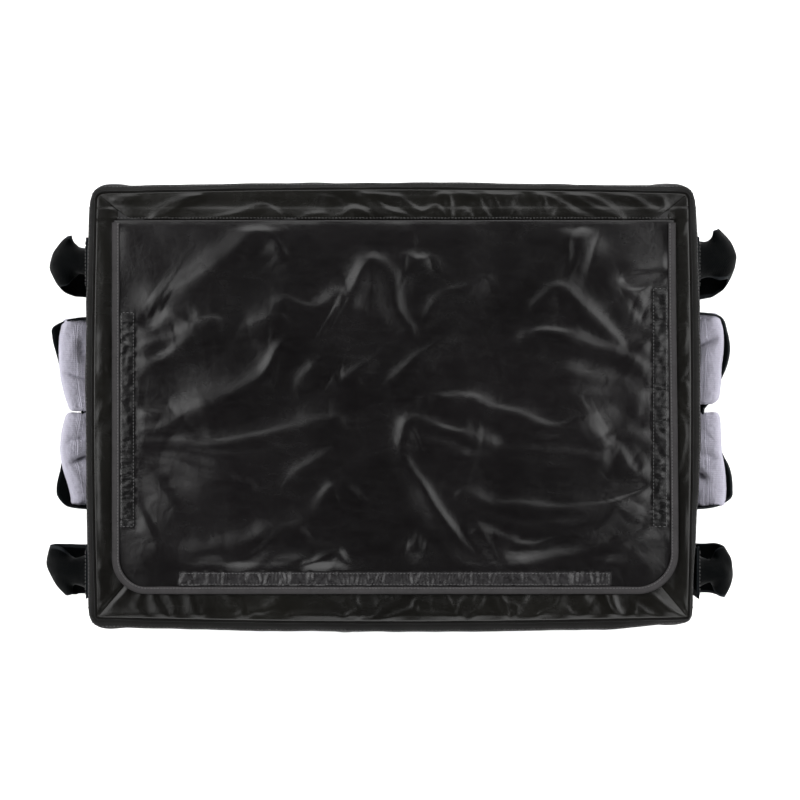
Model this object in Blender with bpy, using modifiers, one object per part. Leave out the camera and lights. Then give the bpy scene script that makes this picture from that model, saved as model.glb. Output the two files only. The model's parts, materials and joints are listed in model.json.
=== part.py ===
"""Top-loading insulated food carrier.

A soft box of coated nylon over foam boards, with a stiff base board, a wipe-clean
liner tub and a padded top frame round the mouth.  The lid is a flap hinged on the
back seam, with a foam plug that drops into the mouth, an edge binding on three
sides and three strips of hook tape that meet three strips of loop tape on the
frame.  Each end has a padded webbing grab handle and two webbing lift loops over
two straps that pass under the base.

Metres, +Z up, origin at the centre of the footprint on the floor.
"""

import math

import bmesh
import bpy
from mathutils import Vector

# ------------------------------------------------------------------ dimensions
HALF_X = 0.3030        # half length of the shell at its corners
BOW_X = 0.0035         # how far the ends bulge at their middle
FRONT_Y = -0.2193      # front face at its corners
BACK_Y = 0.2193        # back face at its corners
BOW_Y = 0.0045         # bulge of the front and the back
CORNER_R = 0.0120      # vertical corner radius
CLOTH = 0.0020         # shell cloth with its backing
WALL_Z0 = 0.0050       # lower edge of the wall panels
WALL_Z1 = 0.2780       # upper seam of the wall panels
BOTTOM_Z0, BOTTOM_Z1 = 0.0025, 0.0045
BOARD_Z0, BOARD_Z1 = 0.0050, 0.0085
FOAM_T = 0.0200        # wall foam
FOAM_X = 0.2960        # outer face of the end foam
FOAM_FRONT, FOAM_BACK = -0.2123, 0.2123
FOAM_Z0, FOAM_Z1 = 0.0090, 0.2650
FOAM_BASE_T = 0.0180
LINER_T = 0.0008
MOUTH_X = 0.2545       # half length of the mouth in the top frame
MOUTH_FRONT, MOUTH_BACK = -0.1640, 0.1795
FRAME_Z0, FRAME_Z1 = 0.2665, 0.2775   # foam core of the top frame
RIM_Z0, RIM_Z1 = 0.2785, 0.2800       # cloth of the top frame
LOOP_TAPE_Z = (0.2803, 0.2813)
HOOK_TAPE_Z = (0.2816, 0.2826)
TAPES = {              # x0, x1, y0, y1 of the closing tapes
    "left": (-0.2725, -0.2575, -0.1225, 0.0945),
    "right": (0.2595, 0.2755, -0.1225, 0.1185),
    "front": (-0.2135, 0.2175, -0.1805, -0.1665),
}
LID_LEFT, LID_RIGHT = -0.2795, 0.2840
LID_FRONT, LID_BACK = -0.1875, 0.1830
LID_R = 0.0330         # rounded front corners of the flap
LID_Z0, LID_Z1 = 0.2830, 0.2850
BINDING_W = 0.0070
HINGE_Y, HINGE_Z = 0.1835, 0.2855
PLUG_X, PLUG_FRONT, PLUG_BACK = 0.2494, -0.1584, 0.1734
PLUG_Z = 0.2688
WEBBING_W = 0.0508     # wide webbing
WEBBING_T = 0.0020
STRAP_Y = {"back": 0.1440, "front": -0.1700}
STRAP_X = 0.3066
LOOP_X = 0.3089
LOOP_OUT = 0.0440
HANDLE_Z = 0.1850
HANDLE_Y = -0.0070     # the middle tack of the grab handles
HANDLE_FACE = 0.3090   # outer face of the handle's base strap
HANDLE_AXIS = 0.0060   # how far off that face the handle swings
PAD_T = 0.0085

# ------------------------------------------------------------------ scene
for old in list(bpy.data.objects):
    bpy.data.objects.remove(old, do_unlink=True)

carrier = bpy.data.collections.new("insulated_food_carrier")
bpy.context.scene.collection.children.link(carrier)


def finish(name, colour, roughness, metallic=0.0):
    made = bpy.data.materials.new(name)
    made.use_nodes = True
    shader = made.node_tree.nodes["Principled BSDF"]
    shader.inputs["Base Color"].default_value = (*colour, 1.0)
    shader.inputs["Roughness"].default_value = roughness
    shader.inputs["Metallic"].default_value = metallic
    made.diffuse_color = (*colour, 1.0)
    return made


PALETTE = {
    "coated_nylon": ((0.012, 0.011, 0.011), 0.38),
    "lid_nylon": ((0.012, 0.011, 0.012), 0.34),
    "webbing": ((0.008, 0.009, 0.010), 0.70),
    "binding": ((0.050, 0.047, 0.048), 0.65),
    "knit": ((0.40, 0.39, 0.46), 0.90),
    "foam": ((0.75, 0.75, 0.72), 0.95),
    "board": ((0.10, 0.10, 0.10), 0.60),
    "liner": ((0.50, 0.51, 0.53), 0.35),
    "hook_tape": ((0.015, 0.015, 0.016), 0.60),
    "loop_tape": ((0.018, 0.018, 0.019), 0.95),
}


def place(name, mesh, kind):
    obj = bpy.data.objects.new(name, mesh)
    obj.data.materials.append(finish(name + "_finish", *PALETTE[kind]))
    carrier.objects.link(obj)
    return obj


def slab(name, x0, x1, y0, y1, z0, z1, kind, edge=0.0):
    """A block between two corners, its origin at its centre."""
    bm = bmesh.new()
    bmesh.ops.create_cube(bm, size=1.0)
    bmesh.ops.scale(bm, vec=(x1 - x0, y1 - y0, z1 - z0), verts=bm.verts)
    mesh = bpy.data.meshes.new(name)
    bm.to_mesh(mesh)
    bm.free()
    obj = place(name, mesh, kind)
    obj.location = ((x0 + x1) / 2, (y0 + y1) / 2, (z0 + z1) / 2)
    if edge:
        bevel = obj.modifiers.new("edge", "BEVEL")
        bevel.width = edge
        bevel.segments = 2
        bevel.limit_method = "NONE"
    return obj


def solidify(obj, thickness, offset):
    shell = obj.modifiers.new("thickness", "SOLIDIFY")
    shell.thickness = thickness
    shell.offset = offset
    shell.use_even_offset = True
    return obj


def sheet(name, rows, thickness, kind, offset=0.0, closed=False):
    """An open surface through rows of points, given its thickness by Solidify."""
    bm = bmesh.new()
    grid = [[bm.verts.new(p) for p in row] for row in rows]
    width = len(grid[0])
    for a, b in zip(grid, grid[1:]):
        for i in range(width if closed else width - 1):
            j = (i + 1) % width
            bm.faces.new((a[i], a[j], b[j], b[i]))
    mesh = bpy.data.meshes.new(name)
    bm.to_mesh(mesh)
    bm.free()
    return solidify(place(name, mesh, kind), thickness, offset)


def plate(name, outline, z0, z1, kind):
    """A flat outline, counter-clockwise from above, with its thickness below z1."""
    bm = bmesh.new()
    bm.faces.new([bm.verts.new((x, y, z1)) for x, y in outline])
    mesh = bpy.data.meshes.new(name)
    bm.to_mesh(mesh)
    bm.free()
    return solidify(place(name, mesh, kind), z1 - z0, -1.0)


def smooth_path(points, steps):
    """A Catmull-Rom curve through the points, which may carry any number of values."""
    out = []
    for i in range(len(points) - 1):
        p0 = points[max(i - 1, 0)]
        p1, p2 = points[i], points[i + 1]
        p3 = points[min(i + 2, len(points) - 1)]
        for k in range(steps):
            t = k / steps
            out.append(
                tuple(
                    0.5
                    * (
                        2 * b
                        + (c - a) * t
                        + (2 * a - 5 * b + 4 * c - d) * t * t
                        + (3 * b - a - 3 * c + d) * t ** 3
                    )
                    for a, b, c, d in zip(p0, p1, p2, p3)
                )
            )
    out.append(tuple(points[-1]))
    return out


# ------------------------------------------------------------------ outline of the box
def end_x(y):
    return HALF_X + BOW_X * math.cos(math.pi * y / 0.44)


def side_y(x, back):
    bow = BOW_Y * math.cos(math.pi * x / 0.61)
    return BACK_Y + bow if back else FRONT_Y - bow


def side_path(back, count=13, arc=4):
    """Points of the front or back face with both its corners, left to right, each with its outward normal."""
    run = HALF_X - CORNER_R
    corner_y = (BACK_Y - CORNER_R) if back else (FRONT_Y + CORNER_R)
    up = 1.0 if back else -1.0
    out = []
    for k in range(arc):
        a = math.pi / 2 * k / arc
        out.append((-run - CORNER_R * math.cos(a), corner_y + up * CORNER_R * math.sin(a), -math.cos(a), up * math.sin(a)))
    for k in range(count):
        x = -run + 2 * run * k / (count - 1)
        slope = (side_y(x + 1e-4, back) - side_y(x - 1e-4, back)) / 2e-4
        n = Vector((-slope * up, up)).normalized()
        out.append((x, side_y(x, back), n.x, n.y))
    for k in range(1, arc + 1):
        a = math.pi / 2 * (1 - k / arc)
        out.append((run + CORNER_R * math.cos(a), corner_y + up * CORNER_R * math.sin(a), math.cos(a), up * math.sin(a)))
    return out


def end_path(right, gap=0.0006, count=7):
    """Points of an end face, front to back, each with its outward normal."""
    lo, hi = FRONT_Y + CORNER_R + gap, BACK_Y - CORNER_R - gap
    way = 1.0 if right else -1.0
    out = []
    for k in range(count):
        y = lo + (hi - lo) * k / (count - 1)
        slope = (end_x(y + 1e-4) - end_x(y - 1e-4)) / 2e-4
        n = Vector((way, -slope)).normalized()
        out.append((way * end_x(y), y, n.x, n.y))
    return out


WALL_ROWS = (          # height, how far the wall has come in
    (WALL_Z0, 0.0045),
    (0.0120, 0.0015),
    (0.0300, 0.0000),
    (0.1400, 0.0000),
    (0.2550, 0.0000),
    (0.2660, 0.0015),
    (0.2735, 0.0042),
    (WALL_Z1, 0.0065),
)


def wall(name, path, flip):
    rows = [[(x - nx * inset, y - ny * inset, z) for x, y, nx, ny in path] for z, inset in WALL_ROWS]
    if flip:
        rows = [row[::-1] for row in rows]
    return sheet(name, rows, CLOTH, "coated_nylon", offset=-1.0)


wall("shell_front", side_path(False), False)
wall("shell_back", side_path(True), True)
wall("shell_left", end_path(False), True)
wall("shell_right", end_path(True), False)


def ring(inset):
    """The closed outline of the box, counter-clockwise from above, come in by inset."""
    front = side_path(False)
    back = side_path(True)[::-1]
    ends = end_path(True)[1:-1], end_path(False)[1:-1][::-1]
    pts = front + ends[0] + back + ends[1]
    return [(x - nx * inset, y - ny * inset) for x, y, nx, ny in pts]


plate("shell_bottom", ring(0.0045), BOTTOM_Z0, BOTTOM_Z1, "coated_nylon")

# The piped seam round the top edge.
seam = bpy.data.curves.new("top_edge_piping", "CURVE")
seam.dimensions = "3D"
seam.bevel_depth = 0.0013
seam.bevel_resolution = 1
cord = seam.splines.new("POLY")
outline = ring(0.0058)
cord.points.add(len(outline) - 1)
for point, (x, y) in zip(cord.points, outline):
    point.co = (x, y, 0.2797, 1.0)
cord.use_cyclic_u = True
piping = bpy.data.objects.new("top_edge_piping", seam)
seam.materials.append(finish("top_edge_piping_finish", *PALETTE["coated_nylon"]))
carrier.objects.link(piping)

# ------------------------------------------------------------------ top frame round the mouth
RIM_INSET = 0.0080
MITRE_GAP = 0.0005


def rim_long(back):
    path = [(x - nx * RIM_INSET, y - ny * RIM_INSET) for x, y, nx, ny in side_path(back)]
    path = path[2:-2]                       # from the middle of one corner to the middle of the other
    y = MOUTH_BACK if back else MOUTH_FRONT
    inner = [(MOUTH_X, y), (-MOUTH_X, y)]
    return (path + inner) if not back else (path + inner)[::-1]


def rim_end(right):
    way = 1.0 if right else -1.0
    pts = []
    for back in (False, True):
        corner = [(x - nx * RIM_INSET, y - ny * RIM_INSET) for x, y, nx, ny in side_path(back)]
        corner = corner[-3:] if right else corner[:3]
        if not right:
            corner = corner[::-1]
        if back:
            corner = corner[::-1]
        shift = -MITRE_GAP if back else MITRE_GAP
        pts.append([(x, y + shift) for x, y in corner])
    side = [(x - nx * RIM_INSET, y - ny * RIM_INSET) for x, y, nx, ny in end_path(right)][1:-1]
    inner = [(way * MOUTH_X, MOUTH_BACK - MITRE_GAP), (way * MOUTH_X, MOUTH_FRONT + MITRE_GAP)]
    loop = pts[0] + side + pts[1] + inner
    return loop if right else loop[::-1]


plate("rim_front", rim_long(False), RIM_Z0, RIM_Z1, "coated_nylon")
plate("rim_back", rim_long(True), RIM_Z0, RIM_Z1, "coated_nylon")
plate("rim_left", rim_end(False), RIM_Z0, RIM_Z1, "coated_nylon")
plate("rim_right", rim_end(True), RIM_Z0, RIM_Z1, "coated_nylon")

FRAME_X, FRAME_FRONT, FRAME_BACK = 0.2925, -0.2093, 0.2093
slab("rim_foam_front", -FRAME_X, FRAME_X, FRAME_FRONT, MOUTH_FRONT, FRAME_Z0, FRAME_Z1, "foam")
slab("rim_foam_back", -FRAME_X, FRAME_X, MOUTH_BACK, FRAME_BACK, FRAME_Z0, FRAME_Z1, "foam")
slab("rim_foam_left", -FRAME_X, -MOUTH_X, MOUTH_FRONT + 0.0005, MOUTH_BACK - 0.0005, FRAME_Z0, FRAME_Z1, "foam")
slab("rim_foam_right", MOUTH_X, FRAME_X, MOUTH_FRONT + 0.0005, MOUTH_BACK - 0.0005, FRAME_Z0, FRAME_Z1, "foam")


def rectangle(x, y0, y1, z):
    return [(-x, y0, z), (x, y0, z), (x, y1, z), (-x, y1, z)]


# The liner cloth under the frame: a flat ring.
sheet(
    "rim_liner",
    [rectangle(0.2900, -0.2065, 0.2065, 0.2657), rectangle(MOUTH_X, MOUTH_FRONT, MOUTH_BACK, 0.2657)],
    LINER_T, "liner", closed=True,
)

# The tape sewn round the edge of the mouth: an upright band.
sheet(
    "mouth_binding",
    [rectangle(MOUTH_X - 0.0010, MOUTH_FRONT + 0.0010, MOUTH_BACK - 0.0010, z) for z in (0.2650, 0.2802)],
    LINER_T, "binding", closed=True,
)

# ------------------------------------------------------------------ inside the box
slab("foam_front", -FOAM_X, FOAM_X, FOAM_FRONT, FOAM_FRONT + FOAM_T, FOAM_Z0, FOAM_Z1, "foam")
slab("foam_back", -FOAM_X, FOAM_X, FOAM_BACK - FOAM_T, FOAM_BACK, FOAM_Z0, FOAM_Z1, "foam")
FOAM_Y0, FOAM_Y1 = FOAM_FRONT + FOAM_T + 0.0005, FOAM_BACK - FOAM_T - 0.0005
slab("foam_left", -FOAM_X, -FOAM_X + FOAM_T, FOAM_Y0, FOAM_Y1, FOAM_Z0, FOAM_Z1, "foam")
slab("foam_right", FOAM_X - FOAM_T, FOAM_X, FOAM_Y0, FOAM_Y1, FOAM_Z0, FOAM_Z1, "foam")
INNER_X = FOAM_X - FOAM_T - 0.0005
slab("foam_bottom", -INNER_X, INNER_X, FOAM_Y0, FOAM_Y1, FOAM_Z0, FOAM_Z0 + FOAM_BASE_T, "foam")

BOARD_X, BOARD_Y0, BOARD_Y1, CUT = 0.2950, -0.2113, 0.2113, 0.0060
plate(
    "base_board",
    [
        (-BOARD_X + CUT, BOARD_Y0), (BOARD_X - CUT, BOARD_Y0), (BOARD_X, BOARD_Y0 + CUT), (BOARD_X, BOARD_Y1 - CUT),
        (BOARD_X - CUT, BOARD_Y1), (-BOARD_X + CUT, BOARD_Y1), (-BOARD_X, BOARD_Y1 - CUT), (-BOARD_X, BOARD_Y0 + CUT),
    ],
    BOARD_Z0, BOARD_Z1, "board",
)


def tub(name, x, y0, y1, z0, z1, kind):
    """An open-topped box of thin cloth, its thickness inside the given faces."""
    bm = bmesh.new()
    bmesh.ops.create_cube(bm, size=1.0)
    bmesh.ops.scale(bm, vec=(2 * x, y1 - y0, z1 - z0), verts=bm.verts)
    top = [f for f in bm.faces if f.normal.z > 0.5]
    bmesh.ops.delete(bm, geom=top, context="FACES_ONLY")
    mesh = bpy.data.meshes.new(name)
    bm.to_mesh(mesh)
    bm.free()
    obj = place(name, mesh, kind)
    obj.location = (0.0, (y0 + y1) / 2, (z0 + z1) / 2)
    return solidify(obj, LINER_T, -1.0)


tub("inner_liner", INNER_X - 0.0002, FOAM_Y0 + 0.0002, FOAM_Y1 - 0.0002, FOAM_Z0 + FOAM_BASE_T + 0.0005, 0.2648, "liner")

# ------------------------------------------------------------------ closing tapes on the frame, and the hinge seam
for side, (x0, x1, y0, y1) in TAPES.items():
    slab("rim_loop_tape_" + side, x0, x1, y0, y1, *LOOP_TAPE_Z, "loop_tape")
slab("hinge_strip", -0.2750, 0.2780, 0.1815, 0.1955, 0.2803, 0.2811, "binding")

# ------------------------------------------------------------------ lid: everything here turns on the hinge line
hinge_line = bpy.data.objects.new("lid_hinge_line", None)
hinge_line.location = (0.0, HINGE_Y, HINGE_Z)
carrier.objects.link(hinge_line)


def turns_with_lid(obj):
    obj.parent = hinge_line
    obj.matrix_parent_inverse.translation = (0.0, -HINGE_Y, -HINGE_Z)
    return obj


def flap_outline(inset, arc=8):
    """The flap's free edge from the back left corner round the front to the back right corner, with inward normals."""
    left, right, front = LID_LEFT, LID_RIGHT, LID_FRONT
    pts = [(left, LID_BACK, 1.0, 0.0), (left, 0.06, 1.0, 0.0), (left, -0.06, 1.0, 0.0)]
    for k in range(arc + 1):
        a = math.pi / 2 * k / arc
        pts.append((left + LID_R - LID_R * math.cos(a), front + LID_R - LID_R * math.sin(a), math.cos(a), math.sin(a)))
    pts += [(-0.09, front, 0.0, 1.0), (0.09, front, 0.0, 1.0)]
    for k in range(arc + 1):
        a = math.pi / 2 * (1 - k / arc)
        pts.append((right - LID_R + LID_R * math.cos(a), front + LID_R - LID_R * math.sin(a), -math.cos(a), math.sin(a)))
    pts += [(right, -0.06, -1.0, 0.0), (right, 0.06, -1.0, 0.0), (right, LID_BACK, -1.0, 0.0)]
    return [(x + nx * inset, y + ny * inset) for x, y, nx, ny in pts]


turns_with_lid(plate("lid_outer", flap_outline(0.0), LID_Z0, LID_Z1, "lid_nylon"))

# A folded tape over the flap's edge: top leg, fold, bottom leg.
fold = ((0.0060, 0.28565), (-0.0002, 0.28565), (-0.0010, 0.2848), (-0.0010, 0.2832), (-0.0002, 0.28235), (0.0060, 0.28235))
turns_with_lid(
    sheet(
        "lid_binding",
        [[(x, y, z) for x, y in flap_outline(inset)] for inset, z in fold],
        0.0006, "binding",
    )
)

turns_with_lid(slab("lid_foam", -PLUG_X + 0.0014, PLUG_X - 0.0014, PLUG_FRONT + 0.0014, PLUG_BACK - 0.0014, PLUG_Z + 0.0012, 0.2822, "foam"))
turns_with_lid(tub("lid_liner", PLUG_X, PLUG_FRONT, PLUG_BACK, PLUG_Z, 0.2822, "liner"))
for side, (x0, x1, y0, y1) in TAPES.items():
    turns_with_lid(slab("lid_hook_tape_" + side, x0, x1, y0, y1, *HOOK_TAPE_Z, "hook_tape"))

# ------------------------------------------------------------------ straps under the box and their lift loops
for place_name, y in STRAP_Y.items():
    half = WEBBING_W / 2
    right = [
        (0.0, 0.0010), (0.1500, 0.0010), (0.3000, 0.0010), (0.3045, 0.0030), (0.3063, 0.0075), (STRAP_X, 0.0150),
        (STRAP_X, 0.0800), (STRAP_X, 0.1600), (STRAP_X, 0.2450),
    ]
    run = [(-x, z) for x, z in right[:0:-1]] + right
    sheet(
        "load_strap_" + place_name,
        [[(x, y + s, z) for s in (-half, half)] for x, z in smooth_path(run, 1)],
        WEBBING_T, "webbing",
    )

LOOP_SHAPE = (         # out from the wall, height
    (0.0000, 0.1280), (0.0000, 0.1450), (0.0100, 0.1515), (0.0300, 0.1580), (0.0410, 0.1700), (LOOP_OUT, 0.1850),
    (0.0410, 0.2000), (0.0300, 0.2120), (0.0100, 0.2185), (0.0000, 0.2250), (0.0000, 0.2420),
)
for place_name, y in STRAP_Y.items():
    for side, way in (("left", -1.0), ("right", 1.0)):
        half = WEBBING_W / 2 + 0.0004
        sheet(
            "lift_loop_%s_%s" % (place_name, side),
            [[(way * (LOOP_X + max(out, 0.0)), y + s, z) for s in (-half, half)] for out, z in smooth_path(LOOP_SHAPE, 2)],
            WEBBING_T, "webbing",
        )

# ------------------------------------------------------------------ grab handles
# Half of the handle, from its outer tack to the middle tack: distance from the middle tack,
# distance off the base strap, half width of the webbing, lean of the webbing in degrees.
ARCH = (
    (0.0970, 0.0020, 0.0035, 0.0),
    (0.0960, 0.0100, 0.0045, 0.0),
    (0.0895, 0.0200, 0.0110, 12.0),
    (0.0760, 0.0270, 0.0180, 28.0),
    (0.0570, 0.0300, 0.0215, 40.0),
    (0.0370, 0.0285, 0.0215, 40.0),
    (0.0200, 0.0235, 0.0180, 32.0),
    (0.0090, 0.0165, 0.0105, 16.0),
    (0.0045, 0.0100, 0.0045, 0.0),
    (0.0030, 0.0035, 0.0035, 0.0),
    (0.0000, 0.0020, 0.0035, 0.0),
)


def lean(out, half, tilt, depth, s, way, y):
    """A point across the leaning webbing: s runs from its lower edge (-1) to its upper edge (1), depth towards the box."""
    a = math.radians(tilt)
    x = out + s * half * math.sin(a) - depth * math.cos(a)
    z = s * half * math.cos(a) + depth * math.sin(a)
    return (way * (HANDLE_FACE + x), y, HANDLE_Z + z)


for side, way in (("left", -1.0), ("right", 1.0)):
    swing = bpy.data.objects.new("handle_%s_swing_line" % side, None)
    swing.location = (way * (HANDLE_FACE + HANDLE_AXIS), HANDLE_Y, HANDLE_Z)
    carrier.objects.link(swing)

    def swings(obj, swing=swing):
        obj.parent = swing
        obj.matrix_parent_inverse.translation = -swing.location
        return obj

    base = []
    for k in range(9):
        y = -0.1160 + 0.2160 * k / 8
        x = way * (end_x(y) + 0.0014)
        base.append([(x, y, HANDLE_Z + s * 0.0220) for s in (-1, 1)])
    sheet("handle_%s_base" % side, base, WEBBING_T, "webbing")

    arch = smooth_path(ARCH, 2)
    whole = [(HANDLE_Y + d, out, half, tilt) for d, out, half, tilt in arch]
    whole += [(HANDLE_Y - d, out, half, tilt) for d, out, half, tilt in arch[-2::-1]]
    swings(
        sheet(
            "handle_%s_webbing" % side,
            [[lean(out, half, tilt, 0.0, s, way, y) for s in (-1, 0, 1)] for y, out, half, tilt in whole],
            WEBBING_T, "webbing",
        )
    )
    for place_name, turn in (("back", 1.0), ("front", -1.0)):
        part = [row for row in arch if 0.0130 < row[0] < 0.0880]
        rows = []
        for d, out, half, tilt in part:
            y = HANDLE_Y + turn * d
            rows.append([lean(out, half * 0.93, tilt, 0.0024, s, way, y) for s in (-1, 0, 1)])
        if (turn * way) < 0:
            rows = rows[::-1]
        swings(sheet("handle_%s_pad_%s" % (side, place_name), rows, PAD_T, "knit", offset=-1.0))
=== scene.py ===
import json
import math

import bmesh
import bpy
import numpy as np
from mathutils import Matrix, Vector


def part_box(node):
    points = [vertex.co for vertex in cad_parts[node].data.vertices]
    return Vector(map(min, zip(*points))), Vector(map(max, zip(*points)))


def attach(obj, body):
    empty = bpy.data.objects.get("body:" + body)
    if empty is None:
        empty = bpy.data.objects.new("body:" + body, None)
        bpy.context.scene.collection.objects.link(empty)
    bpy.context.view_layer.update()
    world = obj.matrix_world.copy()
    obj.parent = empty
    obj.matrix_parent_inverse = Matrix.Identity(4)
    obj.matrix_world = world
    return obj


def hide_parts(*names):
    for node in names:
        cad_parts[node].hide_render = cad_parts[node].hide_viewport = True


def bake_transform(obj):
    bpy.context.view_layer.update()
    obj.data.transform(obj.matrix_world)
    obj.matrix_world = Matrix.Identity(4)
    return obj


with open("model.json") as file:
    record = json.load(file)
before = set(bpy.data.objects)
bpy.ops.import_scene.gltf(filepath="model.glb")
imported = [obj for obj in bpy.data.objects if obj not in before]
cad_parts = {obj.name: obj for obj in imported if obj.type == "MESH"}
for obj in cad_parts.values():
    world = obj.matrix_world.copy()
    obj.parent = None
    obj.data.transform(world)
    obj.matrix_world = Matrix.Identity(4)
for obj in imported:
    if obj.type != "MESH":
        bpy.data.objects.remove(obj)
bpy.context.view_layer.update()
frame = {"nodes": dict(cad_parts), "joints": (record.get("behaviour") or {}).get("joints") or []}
NODES = frame["nodes"]

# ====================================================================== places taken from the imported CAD
_lo, _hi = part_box("lid_outer")
FLAP_L, FLAP_R, FLAP_FRONT, FLAP_BACK = _lo.x, _hi.x, _lo.y, _hi.y
FLAP_Z = _hi.z
HINGE = Vector(next(j for j in frame["joints"] if j["name"] == "lid_hinge")["pos_m"])
_lo, _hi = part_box("mouth_binding")
MOUTH_X, MOUTH_Y0, MOUTH_Y1 = _hi.x + 0.0006, _lo.y - 0.0006, _hi.y + 0.0006
RIM_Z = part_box("rim_front")[1].z
TAPES = {s: (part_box("lid_hook_tape_" + s)[0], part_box("lid_hook_tape_" + s)[1]) for s in ("left", "right", "front")}
STRAP_Y = {s: (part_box("load_strap_" + s)[0].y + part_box("load_strap_" + s)[1].y) / 2 for s in ("back", "front")}
HALF_X, BOW_X = 0.3030, 0.0035
SIDE_Y, BOW_Y = 0.2193, 0.0045
CORNER_BACK, CORNER_FRONT = 0.0120, 0.0075
WALL_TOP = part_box("shell_front")[1].z
HANDLE_Z = (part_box("handle_left_base")[0].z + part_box("handle_left_base")[1].z) / 2
HANDLE_Y, HANDLE_FACE = -0.0070, 0.3108


# ====================================================================== small tools
def smooth(a, b, x):
    t = np.clip((np.asarray(x, float) - a) / (b - a), 0, 1)
    return t * t * (3 - 2 * t)


def noise(x, y, seed):
    """Gradient noise, about -1 to 1."""
    rng = np.random.RandomState(seed)
    angle = rng.rand(64, 64) * 2 * math.pi
    gx, gy = np.cos(angle), np.sin(angle)
    xi, yi = np.floor(x).astype(int), np.floor(y).astype(int)
    xf, yf = x - xi, y - yi

    def corner(i, j):
        a, b = (xi + i) % 64, (yi + j) % 64
        return gx[a, b] * (xf - i) + gy[a, b] * (yf - j)

    u = xf ** 3 * (xf * (xf * 6 - 15) + 10)
    v = yf ** 3 * (yf * (yf * 6 - 15) + 10)
    low = corner(0, 0) * (1 - u) + corner(1, 0) * u
    high = corner(0, 1) * (1 - u) + corner(1, 1) * u
    return 1.5 * (low * (1 - v) + high * v)


def normals_of(P):
    du = np.gradient(P, axis=0)
    dv = np.gradient(P, axis=1)
    n = np.cross(du, dv)
    return n / np.maximum(np.linalg.norm(n, axis=2, keepdims=True), 1e-12)


def spline(points, count):
    """Catmull-Rom through points of any width, resampled to count even steps along its length."""
    p = np.asarray(points, float)
    ext = np.vstack([2 * p[0] - p[1], p, 2 * p[-1] - p[-2]])
    out = []
    for i in range(len(p) - 1):
        a, b, c, d = ext[i:i + 4]
        for t in np.linspace(0, 1, 24, endpoint=False):
            out.append(0.5 * (2 * b + (c - a) * t + (2 * a - 5 * b + 4 * c - d) * t * t + (3 * b - a - 3 * c + d) * t ** 3))
    out.append(p[-1])
    out = np.array(out)
    width = min(3, out.shape[1])
    run = np.concatenate([[0], np.cumsum(np.linalg.norm(np.diff(out[:, :width], axis=0), axis=1))])
    at = np.linspace(0, run[-1], count)
    return np.stack([np.interp(at, run, out[:, k]) for k in range(out.shape[1])], 1)


def mesh_object(name, verts, faces, uvs=None, mat=None):
    mesh = bpy.data.meshes.new(name)
    verts = np.asarray(verts, np.float32).reshape(-1, 3)
    faces = np.asarray(faces, np.int32)
    mesh.vertices.add(len(verts))
    mesh.vertices.foreach_set("co", verts.ravel())
    k = faces.shape[1]
    mesh.loops.add(faces.size)
    mesh.loops.foreach_set("vertex_index", faces.ravel())
    mesh.polygons.add(len(faces))
    mesh.polygons.foreach_set("loop_start", np.arange(0, faces.size, k, dtype=np.int32))
    mesh.polygons.foreach_set("loop_total", np.full(len(faces), k, np.int32))
    mesh.update(calc_edges=True)
    if uvs is not None:
        layer = mesh.uv_layers.new(name="UVMap")
        layer.data.foreach_set("uv", np.asarray(uvs, np.float32)[faces.ravel()].ravel())
    mesh.shade_smooth()
    mesh.validate()
    obj = bpy.data.objects.new(name, mesh)
    bpy.context.scene.collection.objects.link(obj)
    if mat:
        mesh.materials.append(mat)
    return obj


def lengths(P):
    """Metres along each way of a grid, for its weave."""
    a = np.zeros(P.shape[:2])
    b = np.zeros(P.shape[:2])
    a[1:] = np.cumsum(np.linalg.norm(np.diff(P, axis=0), axis=2), axis=0).mean(axis=1, keepdims=True)
    b[:, 1:] = np.cumsum(np.linalg.norm(np.diff(P, axis=1), axis=2), axis=1).mean(axis=0, keepdims=True)
    return np.stack([a, b], 2)


def cloth(name, P, thick, mat, wrap=False, flip=False):
    """A grid of points as a closed sheet: the grid is its outer face, the other lies thick behind it. wrap joins its first and last rows."""
    if flip:
        P = P[:, ::-1]
    nu, nv = P.shape[:2]
    if wrap:
        Q = np.concatenate([P[-1:], P, P[:1]], 0)
        N = normals_of(Q)[1:-1]
    else:
        N = normals_of(P)
    back = P - N * (thick if np.isscalar(thick) else thick[..., None])
    idx = np.arange(nu * nv).reshape(nu, nv)
    uv = lengths(P).reshape(-1, 2)
    i = np.arange(nu if wrap else nu - 1)
    A, B = idx[i], idx[(i + 1) % nu]
    front = np.stack([A[:, :-1], B[:, :-1], B[:, 1:], A[:, 1:]], -1).reshape(-1, 4)
    m = nu * nv
    rear = front[:, ::-1] + m
    rims = []

    def edge(a, b):
        rims.append(np.stack([a, a + m, b + m, b], -1))

    edge(A[:, 0], B[:, 0])
    edge(B[:, -1], A[:, -1])
    if not wrap:
        edge(idx[0, 1:], idx[0, :-1])
        edge(idx[-1, :-1], idx[-1, 1:])
    faces = np.concatenate([front, rear] + [r.reshape(-1, 4) for r in rims])
    return mesh_object(name, np.concatenate([P.reshape(-1, 3), back.reshape(-1, 3)]), faces, np.concatenate([uv, uv]), mat)


# ====================================================================== cloth solver
def resample(A, nu, nv):
    su, sv = np.linspace(0, A.shape[0] - 1, nu), np.linspace(0, A.shape[1] - 1, nv)
    i, j = np.clip(su.astype(int), 0, A.shape[0] - 2), np.clip(sv.astype(int), 0, A.shape[1] - 2)
    a, b = (su - i)[:, None], (sv - j)[None, :]
    if A.ndim == 3:
        a, b = a[..., None], b[..., None]
    i, j = i[:, None], j[None, :]
    return A[i, j] * (1 - a) * (1 - b) + A[i + 1, j] * a * (1 - b) + A[i, j + 1] * (1 - a) * b + A[i + 1, j + 1] * a * b


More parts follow.
